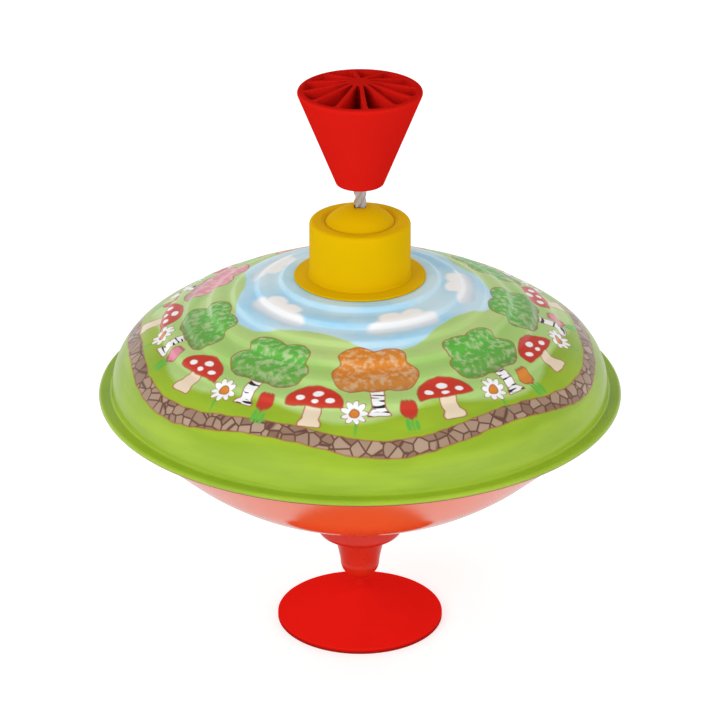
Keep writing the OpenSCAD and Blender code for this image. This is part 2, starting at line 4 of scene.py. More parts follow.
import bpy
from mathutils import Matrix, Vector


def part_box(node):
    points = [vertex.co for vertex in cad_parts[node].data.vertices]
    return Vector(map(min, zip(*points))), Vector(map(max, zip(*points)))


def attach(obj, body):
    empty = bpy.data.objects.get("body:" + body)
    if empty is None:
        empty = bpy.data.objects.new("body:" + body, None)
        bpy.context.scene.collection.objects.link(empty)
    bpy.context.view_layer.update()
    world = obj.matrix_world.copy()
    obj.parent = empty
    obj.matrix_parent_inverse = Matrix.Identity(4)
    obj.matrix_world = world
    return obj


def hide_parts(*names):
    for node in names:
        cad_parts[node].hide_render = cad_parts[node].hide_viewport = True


bl_info = {
    "name": "Musical Spinning Top",
    "version": (1, 0, 0),
    "blender": (4, 5, 0),
    "location": "3D View > Sidebar > Spinning Top",
    "description": "Builds the finished pieces of a pump-driven musical spinning top round its solids",
    "category": "Object",
}

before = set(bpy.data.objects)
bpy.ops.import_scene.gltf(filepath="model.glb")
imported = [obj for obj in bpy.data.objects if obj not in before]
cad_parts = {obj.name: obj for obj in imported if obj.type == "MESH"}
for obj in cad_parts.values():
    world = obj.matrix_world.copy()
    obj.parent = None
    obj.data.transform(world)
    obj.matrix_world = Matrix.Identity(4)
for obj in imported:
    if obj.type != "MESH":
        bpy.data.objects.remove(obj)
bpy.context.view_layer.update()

import math

import bmesh
import bpy
from bpy.props import FloatProperty, FloatVectorProperty, IntProperty, PointerProperty
from mathutils import Vector

MM = 0.001
# Points in one turn of a round piece, and steps of a rounding
TURNS = 240
ARC_STEPS = 10
# Radius that counts as the axis, distance of points that are welded, and least angle of a hard edge
TINY = 1e-7
WELD = 2e-6
SHARP = math.radians(35)
# Clearance of a skin round a solid that stands in it
TUBE_FIT = 0.02 * MM


def low(node):
    """Lowest corner of a solid."""
    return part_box(node)[0]


def high(node):
    """Highest corner of a solid."""
    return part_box(node)[1]


def to_linear(code):
    """An sRGB hex value as linear red, green and blue."""
    shares = [int(code[i : i + 2], 16) / 255 for i in (1, 3, 5)]
    return tuple(s / 12.92 if s <= 0.04045 else ((s + 0.055) / 1.055) ** 2.4 for s in shares)


def length(name, description, mm):
    """A size that a user may change, given in millimetres."""
    return FloatProperty(
        name=name, description=description, default=mm * MM, unit="LENGTH", subtype="DISTANCE", precision=5
    )


def slope(name, description, degrees):
    """An angle that a user may change, given in degrees."""
    return FloatProperty(
        name=name, description=description, default=math.radians(degrees), unit="ROTATION", subtype="ANGLE"
    )


def count(name, description, number):
    """A number of like features."""
    return IntProperty(name=name, description=description, default=number, min=2)


def tint(name, description, code):
    """A colour that a user may change, given as an sRGB hex value."""
    return FloatVectorProperty(
        name=name, description=description, default=to_linear(code), subtype="COLOR", min=0, max=1
    )


def amount(name, description, value, unit="NONE"):
    """A plain number that a user may change."""
    return FloatProperty(name=name, description=description, default=value, unit=unit)


class FootSizes(bpy.types.PropertyGroup):
    """Sizes of the foot"""

    edge_height: length("Edge height", "Height of the outer edge", 2.2)
    edge_round: length("Edge rounding", "Rounding of the outer edge", 0.5)
    cone_height: length("Cone height", "Height of the cone at the sleeve", 13.2)
    dish: length("Dish", "How far the cone lies below a straight one", 0.8)
    sleeve_radius: length("Sleeve radius", "Radius of the sleeve round the spindle", 1.75)
    root_fillet: length("Sleeve fillet", "Fillet at the root of the sleeve", 1.8)
    wall: length("Wall", "Wall over the hollow underside", 2)
    ring_width: length("Ring width", "Width of the ring that stands on the floor", 3)
    ribs: count("Ribs", "Number of ribs in the hollow underside", 8)
    rib_thickness: length("Rib thickness", "Thickness of a rib", 1.4)
    rib_lift: length("Rib lift", "Height of ribs and boss above the floor", 1)
    boss_radius: length("Boss radius", "Radius of the boss that holds the spindle", 4.5)
    pocket_margin: length("Pocket margin", "Distance of the pockets from the standing ring", 3)


class NeckSizes(bpy.types.PropertyGroup):
    """Sizes of the neck and its step ring"""

    low_radius: length("Low radius", "Radius of the neck at its rounded end", 7.25)
    top_radius: length("Top radius", "Radius of the neck under the ring", 9.5)
    end_height: length("End height", "Height of the rounded end", 7.1)
    mouth_radius: length("Mouth radius", "Radius of the mouth round the foot's sleeve", 2.05)
    fillet: length("Fillet", "Fillet between neck and ring", 1.2)
    ring_height: length("Ring height", "Height of the step ring", 12.8)
    ring_round: length("Ring rounding", "Rounding of the ring's lower edge", 2.95)
    spigot_radius: length("Spigot radius", "Radius of the spigot inside the bowl", 9.5)


class TinSizes(bpy.types.PropertyGroup):
    """Sizes of the tin dome and bowl"""

    sheet: length("Sheet", "Thickness of the tinplate", 0.5)
    rim_height: length("Rim height", "Height of the rolled rim", 2.3)
    rim_width: length("Rim width", "Width of the ledge round the dome's wall", 4.65)
    rim_fillet: length("Rim fillet", "Fillet between the ledge and the wall", 0.9)
    hem_width: length("Hem width", "Width of the hem under the rim", 3)
    hem_gap: length("Hem gap", "Open line between the hem and the bowl", 0.5)
    hem_line: length("Hem line", "Height of the red line along the lower edge of the rim", 0.75)
    shoulder: length("Shoulder", "Radius of the dome's shoulder", 22)
    crown_slope: slope("Crown slope", "Slope of the dome beside the collar", 14.4)
    wall_slope: slope("Wall slope", "Slope of the dome's wall", 88)
    crown_seat: length("Crown seat", "Flat of the crown beyond the collar", 1.3)
    press_pitch: length("Ring spacing", "Spacing of the pressed rings", 8.6)
    press_riser: length("Ring riser", "Width of the steep side of a pressed ring", 2)
    press_depth: length("Ring depth", "Depth of a pressed ring", 1.2)
    press_lead: length("Ring lead", "Tread before the first pressed ring", 2.6)
    flank_slope: slope("Flank slope", "Slope of the bowl's flank", 42.6)
    flank_length: length("Flank length", "Length of the straight part of the flank", 27)
    bowl_seat: length("Bowl seat", "Flat of the bowl beyond the step ring", 0.9)
    inlets: count("Inlets", "Holes that let air into the reed drum", 8)
    inlet_radius: length("Inlet radius", "Radius of an inlet", 2.25)
    inlet_circle: length("Inlet circle", "Radius of the circle of inlets", 21.675)
    outlets: count("Outlets", "Holes that let air out", 12)
    outlet_radius: length("Outlet radius", "Radius of an outlet", 1.75)
    outlet_circle: length("Outlet circle", "Radius of the circle of outlets", 42)


class CollarSizes(bpy.types.PropertyGroup):
    """Sizes of the collar and the nut in it"""

    top_radius: length("Top radius", "Radius of the collar at its top", 18.15)
    foot_radius: length("Foot radius", "Radius of the collar at its foot", 18.2)
    edge_round: length("Edge rounding", "Rounding of the top edge", 1.7)
    flange_edge: length("Flange edge", "Thickness of the flange at its edge", 0.8)
    flange_root: length("Flange root", "Thickness of the flange at the collar", 1.2)
    fillet: length("Fillet", "Fillet between flange and collar", 0.6)
    lip_radius: length("Lip radius", "Radius of the opening round the nut", 12.45)
    lip_edge: length("Lip width", "Width of the slope from the collar's top to that opening", 1.6)
    lip_fall: length("Lip fall", "Depth of that slope at the nut", 0.55)
    lip_thickness: length("Lip thickness", "Thickness of the ring round the nut", 2.3)
    cavity_radius: length("Cavity radius", "Radius of the room for the nut", 15.55)
    spigot_radius: length("Spigot radius", "Radius of the spigot through the crown", 17.05)
    dome_height: length("Dome height", "Height of the nut's dome above the collar", 5.4)
    nut_radius: length("Nut radius", "Radius of the nut's dome", 12.42)
    nut_gap: length("Nut gap", "Gap between the nut's skirt and the lip", 0.3)
    skirt_height: length("Skirt height", "Height of the nut's skirt", 5)
    skirt_wall: length("Skirt wall", "Wall of the nut's skirt", 5)
    crown_depth: length("Crown depth", "Solid depth of the nut below the collar's top", 4)
    teeth: count("Teeth", "Saw teeth of the clutch", 12)
    tooth_height: length("Tooth height", "Height of a tooth", 1.2)
    hole_room: length("Hole room", "Clearance round the rod in the nut", 0.3)


class RodSizes(bpy.types.PropertyGroup):
    """Sizes of the twisted rod"""

    width: length("Width", "Side of the square rod", 3.35)
    corner: length("Corner", "Rounding of the rod's corners", 0.22)
    lead: length("Lead", "Rise of the rod in one turn", 15)
    phase: length("Phase", "Distance under the handle at which the corners face sideways", 3.4)
    tenon_radius: length("Tenon radius", "Radius of the tenon that carries the stop", 1.3)
    tenon_length: length("Tenon length", "Length of that tenon", 6)


class HandleSizes(bpy.types.PropertyGroup):
    """Sizes of the pump handle"""

    end_radius: length("End radius", "Radius of the lower end", 8.45)
    top_radius: length("Top radius", "Radius of the cone at the rim, before its rounding", 22.7)
    height: length("Height", "Height up to the rim", 35.4)
    rim_edge: length("Rim rounding", "Rounding of the rim", 1.2)
    end_edge: length("End rounding", "Rounding of the lower end", 0.8)
    wall: length("Wall", "Wall of the cone", 2)
    floor: length("Floor", "Thickness of the floor of the pockets", 6)
    ribs: count("Ribs", "Number of ribs", 12)
    rib_thickness: length("Rib thickness", "Thickness of a rib", 1.3)
    rib_turn: slope("Rib turn", "Turn of the ribs about the axis", 6)
    hub_radius: length("Hub radius", "Radius of the hub round the rod", 3.72)
    edge: length("Pocket edge", "Rounding of the pockets' edges", 0.3)


class TopColours(bpy.types.PropertyGroup):
    """Colours of the plastics, the lacquer and the print"""

    red: tint("Red", "Satin red of handle and foot", "#E21E16")
    gloss_red: tint("Gloss red", "Polished red of the neck", "#D42A14")
    yellow: tint("Yellow", "Satin yellow of collar and nut", "#E0B404")
    lacquer: tint("Bowl lacquer", "Orange red lacquer of the bowl", "#FF6A34")
    # Partly the bowl's red edge, partly painted shade of the open hem gap
    hem_edge_shaded_red: tint("Hem red", "Deep red of the line under the rim", "#9C3A1E")
    steel: tint("Steel", "Plated steel of the rod", "#E6E4E8")
    sky: tint("Sky", "Light blue round the collar", "#CCEAF6")
    sky_deep: tint("Deep sky", "Deeper blue of the sky's brush strokes", "#A2DAF7")
    cloud: tint("Cloud", "White of the clouds", "#FAFCFC")
    meadow: tint("Meadow", "Pale green of the far meadow", "#BFDB88")
    grass: tint("Grass", "Bright green of shoulder and rim", "#A0BF2C")
    leaf: tint("Leaf", "Green of the tree crowns", "#62B944")
    bark: tint("Bark", "Brown of trunks and path", "#8B6C58")
    cream: tint("Cream", "Cream of stems and stones", "#EEDBBF")
    blossom: tint("Blossom", "Pink of blossom trees and tulips", "#E890A5")
    berry: tint("Berry", "Red of caps and tulips", "#CE3A28")
    amber: tint("Amber", "Orange of flower centres and tulips", "#DE8A30")
    soot: tint("Soot", "Near black of the birch bark", "#332A2C")
    ink: tint("Ink", "Brown red of the drawn lines", "#A85C40")


class StageSizes(bpy.types.PropertyGroup):
    """Camera and lamps"""

    camera_back: length("Camera distance", "Distance of the camera in front of the axis", 1121.27)
    camera_height: length("Camera height", "Height of the camera", 616.64)
    camera_pitch: slope("Camera pitch", "How far the camera looks down", 24.525)
    lens: amount("Lens", "Focal length of the camera", 169.58, "CAMERA")
    walls: amount("Walls", "Strength of the white walls round the stage", 1.08)
    ceiling: amount("Ceiling", "Strength of the ceiling above it", 0.36)
    key: amount("Key lamp", "Power of the lamp at the front left", 12, "POWER")
    fill: amount("Fill lamp", "Power of the lamp at the right", 5.5, "POWER")
    back: amount("Back lamp", "Power of the low lamp behind", 7, "POWER")


class SpinTop(bpy.types.PropertyGroup):
    """All sizes and colours of the spinning top"""

    foot: PointerProperty(type=FootSizes)
    neck: PointerProperty(type=NeckSizes)
    tin: PointerProperty(type=TinSizes)
    collar: PointerProperty(type=CollarSizes)
    rod: PointerProperty(type=RodSizes)
    handle: PointerProperty(type=HandleSizes)
    colours: PointerProperty(type=TopColours)
    stage: PointerProperty(type=StageSizes)


# Outlines and skins


def arc(centre, radius, start, end, steps=ARC_STEPS):
    """Points on an arc in the plane of radius and height, between two angles in degrees."""
    angles = [math.radians(start + (end - start) * i / steps) for i in range(steps + 1)]
    return [(centre[0] + radius * math.cos(a), centre[1] + radius * math.sin(a)) for a in angles]


def eased(corners, radius, steps=4):
    """A closed outline with each corner rounded by the radius, or by its own third value, as far as its
    sides allow. Points on the axis stay sharp."""
    points = [Vector(c[:2]) for c in corners]
    path = []
    for i, corner in enumerate(points):
        before = points[i - 1] - corner
        after = points[(i + 1) % len(points)] - corner
        half = before.angle(after) / 2
        if corner.x < TINY or half > math.radians(85):
            path.append(tuple(corner))
            continue
        own = (*corners[i], radius)[2]
        run = min(own / math.tan(half), 0.45 * before.length, 0.45 * after.length)
        middle = corner + (before.normalized() + after.normalized()).normalized() * run / math.cos(half)
        start = corner + before.normalized() * run - middle
        end = corner + after.normalized() * run - middle
        path += [tuple(middle + start.length * start.slerp(end, k / steps)) for k in range(steps + 1)]
    return path


def sheet(path, thickness):
    """Outline of a sheet whose outer face follows the path, with its thickness on the left of it."""
    points = [Vector(p) for p in path]
    inner = []
    for i, point in enumerate(points):
        before = (points[max(i, 1)] - points[max(i, 1) - 1]).normalized()
        last = min(i, len(points) - 2)
        after = (points[last + 1] - points[last]).normalized()
        mean = (before + after).normalized()
        inner.append(tuple(point + Vector((-mean.y, mean.x)) * thickness / mean.dot(after)))
    return list(path) + inner[::-1]


def spot(radius, angle, height):
    """The point at a radius, an angle and a height."""
    return (radius * math.cos(angle), radius * math.sin(angle), height)


def ring(radius, height, turns, start):
    """One loop of points round the axis."""
    return [spot(radius, start + math.tau * i / turns, height) for i in range(turns)]


class Skin:
    """Points and faces of one piece, made from loops of points."""

    def __init__(self):
        self.points = []
        self.faces = []

    def loop(self, points):
        """Adds a loop of points, and gives their numbers."""
        first = len(self.points)
        self.points.extend(points)
        return list(range(first, len(self.points)))

    def bridge(self, a, b):
        """Faces between two loops. A loop of one point takes a fan."""
        size = max(len(a), len(b))
        for i in range(size):
            j = (i + 1) % size
            corners = (a[i % len(a)], a[j % len(a)], b[j % len(b)], b[i % len(b)])
            self.faces.append(tuple(dict.fromkeys(corners)))

    def chain(self, loops, closed=False):
        """Adds loops, with faces from each to the next."""
        made = [self.loop(points) for points in loops]
        for a, b in zip(made, made[1:] + made[:1] if closed else made[1:]):
            self.bridge(a, b)

    def turned(self, path, turns=TURNS, start=0.0, closed=False):
        """A path of radius and height turned round the axis. A point on the axis closes the skin."""
        self.chain([ring(r, z, turns, start) if r > TINY else [(0, 0, z)] for r, z in path], closed)


def piece(name, skin):
    """The skin as an object, welded and with its faces outward."""
    mesh = bpy.data.meshes.new(name)
    mesh.from_pydata(skin.points, [], skin.faces)
    edit = bmesh.new()
    edit.from_mesh(mesh)
    bmesh.ops.remove_doubles(edit, verts=edit.verts, dist=WELD)
    bmesh.ops.recalc_face_normals(edit, faces=edit.faces)
    edit.to_mesh(mesh)
    edit.free()
    made = bpy.data.objects.new(name, mesh)
    bpy.context.scene.collection.objects.link(made)
    return made


def dress(made, material, body, slot, *nodes):
    """Gives a piece smooth faces, its material and the body it moves with, and hides the solids it stands
    for. Only its hard edges stay sharp. Its slot is not used."""
    made.data.shade_smooth()
    made.data.set_sharp_from_angle(angle=SHARP)
    even = made.modifiers.new("even_normals", "WEIGHTED_NORMAL")
    even.keep_sharp = True
    made.data.materials.append(material)
    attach(made, body)
    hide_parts(*nodes)


def sector_square(across, along):
    """Corners and steps of one sector's outline, as (side -1 to 1, way -1 to 1), once round."""
    side = [(2 * i / across - 1, -1) for i in range(across)]
    out = [(1, 2 * i / along - 1) for i in range(along)]
    return side + out + [(-a, -b) for a, b in side + out]


def pocket_loop(square, middle, half, inner, outer, rib, height, power=9, shrink=1.0):
    """A loop of one pocket: a sector between two radii and two parallel-sided ribs, its corners rounded.
    With no rib it is the plain sector."""
    points = []
    for side, way in square:
        if rib is not None:
            grow = shrink / (abs(side) ** power + abs(way) ** power) ** (1 / power)
            side, way = side * grow, way * grow
        radius = inner + (outer - inner) * (way + 1) / 2
        reach = half - (math.asin(rib / radius) if rib is not None else 0)
        angle = middle + side * reach
        points.append(spot(radius, angle, height(radius)))
    return points


# Nodes

# A Mix node for colours takes its share at input 0 and its colours at 6 and 7
COLOUR = {"out": 2, "data_type": "RGBA"}


def feed(tree, node, inputs):
    """Gives inputs of a node their links or plain values."""
    for key, value in inputs.items():
        socket = node.inputs[key]
        if isinstance(value, bpy.types.NodeSocket):
            tree.links.new(value, socket)
        elif socket.type == "RGBA":
            socket.default_value = (*value[:3], 1)
        else:
            socket.default_value = value


def add(tree, kind, *values, out=0, **settings):
    """Adds one node, whose kind may end in its operation. An input takes a link or a plain value. Values are
    given in the order of the inputs, or in a dictionary. Settings are the node's own options."""
    kind, *operation = kind.split()
    made = tree.nodes.new("ShaderNode" + kind)
    if operation:
        made.operation = operation[0]
    for key, value in settings.items():
        setattr(made, key, value)
    in_order = not values or not isinstance(values[0], dict)
    feed(tree, made, dict(enumerate(values)) if in_order else values[0])
    return made.outputs[out] if made.outputs else made


def finish(name, **sockets):
    """A new material with one shader, and the socket values that are the same all over it."""
    made = bpy.data.materials.new(name)
    made.use_nodes = True
    tree = made.node_tree
    shader = tree.nodes["Principled BSDF"]
    feed(tree, shader, {key.replace("_", " "): value for key, value in sockets.items()})
    return made, tree, shader


def place(tree):
    """The point on the piece, in millimetres."""
    at = add(tree, "TexCoord", out="Object")
    return add(tree, "VectorMath MULTIPLY", at, (1000, 1000, 1000))


def mottled(tree, shader, at, colour, other, size):
    """A colour that drifts towards another over patches of a size in millimetres."""
    drift = add(tree, "TexNoise", {"Vector": at, "Scale": 1 / size, "Detail": 3})
    mixed = add(tree, "Mix", {0: drift, 6: colour, 7: other}, **COLOUR)
    feed(tree, shader, {"Base Color": mixed})
    return drift


def darker(colour, share):
    """A colour at a share of its brightness."""
    return tuple(share * c for c in colour)


def deepened(tree, shader, share):
    """Deepens the colour that a shader already has to a share of it."""
    colour = shader.inputs["Base Color"].links[0].from_socket
    deep = add(tree, "Mix", {0: 1, 6: colour, 7: share}, **COLOUR, blend_type="MULTIPLY")
    feed(tree, shader, {"Base Color": deep})


def painted_gap_shade(tree, shader, reach, least):
    """Painted shade: deepens the colour in narrow gaps, down to a share of it, within a reach in millimetres.
    """
    clear = add(tree, "AmbientOcclusion", {"Distance": reach * MM}, out="AO", samples=8)
    deepened(tree, shader, add(tree, "MapRange", clear, 0.2, 0.95, least, 1))


def moulded(name, colour, roughness, grain, depth, specular, gap_shade_least):
    """Injection-moulded plastic. Its colour flows a little, painted shade deepens it in gaps, and the mould's
    fine spark-eroded grain breaks up the gloss. The grain is drawn at the given size in millimetres, coarser
    than life."""
    made, tree, shader = finish(name, IOR=1.49, Specular_IOR_Level=specular)
    at = place(tree)
    flow = mottled(tree, shader, at, colour, darker(colour, 0.93), size=14)
    # Painted shade in gaps and where pieces meet, found by ambient occlusion
    painted_gap_shade(tree, shader, reach=3.5, least=gap_shade_least)
    gloss = add(tree, "MapRange", flow, 0.3, 0.7, roughness - 0.04, roughness + 0.04)
    grains = add(tree, "TexNoise", {"Vector": at, "Scale": 1 / grain, "Detail": 2})
    bump = add(tree, "Bump", {"Height": grains, "Distance": depth * MM, "Strength": 0.5})
    feed(tree, shader, {"Roughness": gloss, "Normal": bump})
    return made, tree, shader


def satin(name, colour, specular, gap_shade_least, roughness):
    """Polypropylene from a lightly etched mould: even, deep colour with no clear reflections."""
    return moulded(name, colour, roughness, grain=0.6, depth=0.012, specular=specular, gap_shade_least=gap_shade_least)


SATIN_RED = {"specular": 0, "gap_shade_least": 0.5, "roughness": 0.6}


def satin_red(colours):
    """The foot's red, with painted contact shade that deepens it over the last 2 mm above the floor."""
    made, tree, shader = satin("red_polypropylene_satin", colours.red, **SATIN_RED)
    height = add(tree, "SeparateXYZ", place(tree), out="Z")
    # Painted contact shade: half the colour at 0.2 mm above the floor, full colour from 2 mm up
    deepened(tree, shader, add(tree, "MapRange", height, 0.2, 2, 0.5, 1))
    return made


def handle_red_painted_shade(colours):
    """The handle's red with painted shade: a shade deeper all over, and deeper still on level faces, which
    get less light from above."""
    made, tree, shader = satin("red_polypropylene_painted_shade", colours.red, **SATIN_RED)
    up = add(tree, "SeparateXYZ", add(tree, "TexCoord", out="Normal"), out="Z")
    # Painted shade: 0.9 of the colour where the faces lean, 0.74 where they look straight up
    deepened(tree, shader, add(tree, "MapRange", up, 0.6, 0.9, 0.9, 0.74))
    return made


def satin_yellow(colours):
    """The warm yellow of collar and nut."""
    looks = {"specular": 0.01, "gap_shade_least": 0.8, "roughness": 0.55}
    return satin("yellow_polypropylene_satin", colours.yellow, **looks)[0]


def polished_red(colours):
    """Red polystyrene from a polished mould: it mirrors the white floor along its sides."""
    looks = {"roughness": 0.28, "grain": 2.5, "depth": 0.004, "specular": 0.5, "gap_shade_least": 0.7}
    return moulded("red_polystyrene_polished", colours.gloss_red, **looks)[0]


def natural_acetal():
    """Natural acetal: milky white, slightly waxy."""
    looks = {"roughness": 0.38, "grain": 0.8, "depth": 0.006, "specular": 0.4, "gap_shade_least": 0.8}
    return moulded("natural_acetal", to_linear("#E6E4DA"), **looks)[0]


def worked_metal(name, colour, roughness, stretch, grain):
    """Metal with the fine lines of its drawing or rolling: noise in millimetres, drawn out along one way."""
    made, tree, shader = finish(name, Metallic=1.0)
    at = place(tree)
    mottled(tree, shader, at, colour, darker(colour, 0.86), size=6)
    drawn = add(tree, "VectorMath MULTIPLY", at, stretch)
    lines = add(tree, "TexNoise", {"Vector": drawn, "Scale": 1 / grain, "Detail": 2})
    gloss = add(tree, "MapRange", lines, 0.3, 0.7, roughness - 0.07, roughness + 0.07)
    bump = add(tree, "Bump", {"Height": lines, "Distance": 0.004 * MM, "Strength": 0.4})
    feed(tree, shader, {"Roughness": gloss, "Normal": bump})
    return made


def pressed_felt():
    """Pressed wool felt: dark, fully rough, with tufts about a millimetre across."""
    made, tree, shader = finish("pressed_wool_felt", Roughness=0.95, Sheen_Weight=0.4)
    colour = to_linear("#4A4744")
    tufts = mottled(tree, shader, place(tree), colour, darker(colour, 0.6), size=1)
    bump = add(tree, "Bump", {"Height": tufts, "Distance": 0.3 * MM, "Strength": 0.7})
    feed(tree, shader, {"Normal": bump})
    return made


def lacquered(name, roughness):
    """Tinplate under stoved clear lacquer: smooth and glossy, with a faint orange peel of 2 mm waves."""
    made, tree, shader = finish(name, IOR=1.5, Roughness=roughness)
    at = place(tree)
    peel = add(tree, "TexNoise", {"Vector": at, "Scale": 1 / 2, "Detail": 1})
    bump = add(tree, "Bump", {"Height": peel, "Distance": 0.006 * MM, "Strength": 0.35})
    feed(tree, shader, {"Normal": bump})
    return made, tree, shader, at


def red_lacquer(colours):
    """Orange red stoving enamel: it mirrors the white floor at the bowl's sides and the red foot below.
    Painted shade deepens it in gaps, such as under the rim.
    """
    made, tree, shader, at = lacquered("red_stoving_enamel", roughness=0.1)
    mottled(tree, shader, at, colours.lacquer, darker(colours.lacquer, 0.94), size=20)
    painted_gap_shade(tree, shader, reach=3, least=0.5)
    return made


# The print: every distance is in millimetres on the tin, with up towards the crown

# Softness of an ink's edge, width of a drawn line, and number of plants of each kind round the tin
PRINT_EDGE = 0.22
PRINT_LINE = 0.38
PLANTS = 9


def ovals(tree, at, shapes, soft=0.7):
    """Distance from the edge of ovals run into one, below zero inside it. An oval is given by its centre and
    its half width and half height."""
    whole = None
    for x, y, wide, tall in shapes:
        least = min(wide, tall)
        moved = add(tree, "VectorMath ADD", at, (-x, -y, 0))
        scaled = add(tree, "VectorMath MULTIPLY", moved, (1 / wide, 1 / tall, 0))
        reach = add(tree, "VectorMath LENGTH", scaled, out="Value")
        edge = add(tree, "Math MULTIPLY_ADD", reach, least, -least)
        if whole is not None:
            edge = add(tree, "Math SMOOTH_MIN", whole, edge, soft)
        whole = edge
    return whole


def painted(tree, under, shape, colour, line=None, edge=PRINT_EDGE):
    """Paints a shape over what lies under it, with a thin drawn line round it if one is given."""
    if line is not None:
        around = add(tree, "MapRange", shape, PRINT_LINE - edge, PRINT_LINE + edge, 1, 0)
        under = add(tree, "Mix", {0: around, 6: under, 7: line}, **COLOUR)
    cover = add(tree, "MapRange", shape, -edge, edge, 1, 0)
    return add(tree, "Mix", {0: cover, 6: under, 7: colour}, **COLOUR)


def planted(tree, polar, number, phase, foot, spread, seed):
    """Local coordinates of a motif that stands in each of a number of places round the tin, with its foot at
    a given distance from the crown, moved by chance within a spread, and three chances of its own."""
    turn, radius, reach = polar
    step = math.tau / number
    place_no = add(tree, "Math MULTIPLY_ADD", turn, 1 / step, phase)
    share = add(tree, "Math FRACT", place_no)
    angle = add(tree, "Math MULTIPLY_ADD", share, step, -step / 2)
    across = add(tree, "Math MULTIPLY", angle, radius)
    up = add(tree, "Math SUBTRACT", foot, reach)
    whole = add(tree, "Math FLOOR", place_no)
    index = add(tree, "Math WRAP", whole, number, 0)
    chance = add(tree, "TexWhiteNoise", {"Vector": index, "W": seed}, out="Color", noise_dimensions="4D")
    at = add(tree, "CombineXYZ", across, up, 0)
    middle = add(tree, "VectorMath ADD", at, (-spread[0] / 2, -spread[1] / 2, 0))
    moved = add(tree, "VectorMath MULTIPLY_ADD", chance, (*spread, 0), middle)
    dice = add(tree, "SeparateColor", chance).node
    return moved, dice.outputs


def either(tree, chance, first, second, third):
    """One of three colours by a chance between 0 and 1."""
    over = [add(tree, "Math GREATER_THAN", chance, limit) for limit in (0.36, 0.68)]
    hue = add(tree, "Mix", {0: over[0], 6: first, 7: second}, **COLOUR)
    return add(tree, "Mix", {0: over[1], 6: hue, 7: third}, **COLOUR)


def standing(tree, at, shape):
    """A shape cut off level at its foot."""
    up = add(tree, "SeparateXYZ", at, out="Y")
    depth = add(tree, "Math MULTIPLY", up, -1)
    return add(tree, "Math SMOOTH_MAX", shape, depth, 0.6)


def clouds(tree, under, polar, colours):
    """Five loose clouds in the sky, each with a grey blue underside."""
    at = planted(tree, polar, 5, phase=0.2, foot=41, spread=(7, 2), seed=11)[0]
    puffs = [(0, 4, 8, 4.4), (-8, 2.4, 6, 3.2), (8.5, 2.6, 5.6, 3.4)]
    puffs += [(-3.4, 7, 5, 3.8), (4.2, 7.2, 4.4, 3.2)]
    shape = ovals(tree, at, puffs, 1.2)
    up = add(tree, "SeparateXYZ", at, out="Y")
    lit = add(tree, "MapRange", up, -0.5, 4, 0, 1)
    white = add(tree, "Mix", {0: lit, 6: to_linear("#C3D9E8"), 7: colours.cloud}, **COLOUR)
    return painted(tree, under, shape, white, edge=0.6)


def birches(tree, under, at_tin, polar, colours):
    """Birches on the far meadow: white trunks with dark bars, and dappled crowns in green, pink or amber."""
    at, dice = planted(tree, polar, PLANTS, phase=0.35, foot=80, spread=(3, 3), seed=23)
    stem = ovals(tree, at, [(0, 9, 2.1, 12), (0, 0, 3.6, 3)], 1.5)
    slim = add(tree, "VectorMath MULTIPLY", at, (0.16, 0.7, 0))
    own = add(tree, "Math MULTIPLY", dice[1], 60)
    noise = add(tree, "TexNoise", {"Vector": slim, "W": own, "Scale": 1, "Detail": 1}, noise_dimensions="4D")
    bars = add(tree, "MapRange", noise, 0.55, 0.6, 0, 1)
    bark = add(tree, "Mix", {0: bars, 6: colours.cloud, 7: colours.soot}, **COLOUR)
    under = painted(tree, under, standing(tree, at, stem), bark, colours.ink)
    puffs = [(0, 20, 11, 9), (-8, 17, 7, 6), (8, 17, 7.2, 6.4), (-4.6, 25, 7, 6), (5.2, 24.6, 6.4, 5.8)]
    hue = either(tree, dice[0], colours.leaf, colours.blossom, colours.amber)
    dapple = add(tree, "TexNoise", {"Vector": at_tin, "Scale": 1 / 2.4, "Detail": 2})
    spots = add(tree, "MapRange", dapple, 0.46, 0.64, 0, 0.4)
    leaves = add(tree, "Mix", {0: spots, 6: hue, 7: to_linear("#F6F0CE")}, **COLOUR)
    up = add(tree, "SeparateXYZ", at, out="Y")
    shade = add(tree, "MapRange", up, 10, 21, 0.5, 0)
    crown = add(tree, "Mix", {0: shade, 6: leaves, 7: to_linear("#6E5C40")}, **COLOUR)
    return painted(tree, under, ovals(tree, at, puffs, 1), crown, colours.ink)


def toadstools(tree, under, polar, colours):
    """Toadstools between the trees: cream stems and red caps with white spots."""
    at = planted(tree, polar, PLANTS, phase=0.85, foot=84, spread=(3, 3), seed=37)[0]
    stem = ovals(tree, at, [(0, 6, 2.9, 8), (0, 1, 4, 3)], 1.5)
    under = painted(tree, under, standing(tree, at, stem), colours.cream, colours.ink)
    up = add(tree, "SeparateXYZ", at, out="Y")
    brim = add(tree, "Math SUBTRACT", 9, up)
    dome = ovals(tree, at, [(0, 9.4, 10, 8.6)])
    cap = add(tree, "Math SMOOTH_MAX", dome, brim, 0.8)
    under = painted(tree, under, cap, colours.berry, colours.ink)
    spots = [(-5.4, 12, 1.6, 1.3), (0.6, 14.8, 1.9, 1.4), (5.6, 11.6, 1.5, 1.2), (0.2, 11, 1.3, 1)]
    return painted(tree, under, ovals(tree, at, spots, 0.1), colours.cloud)


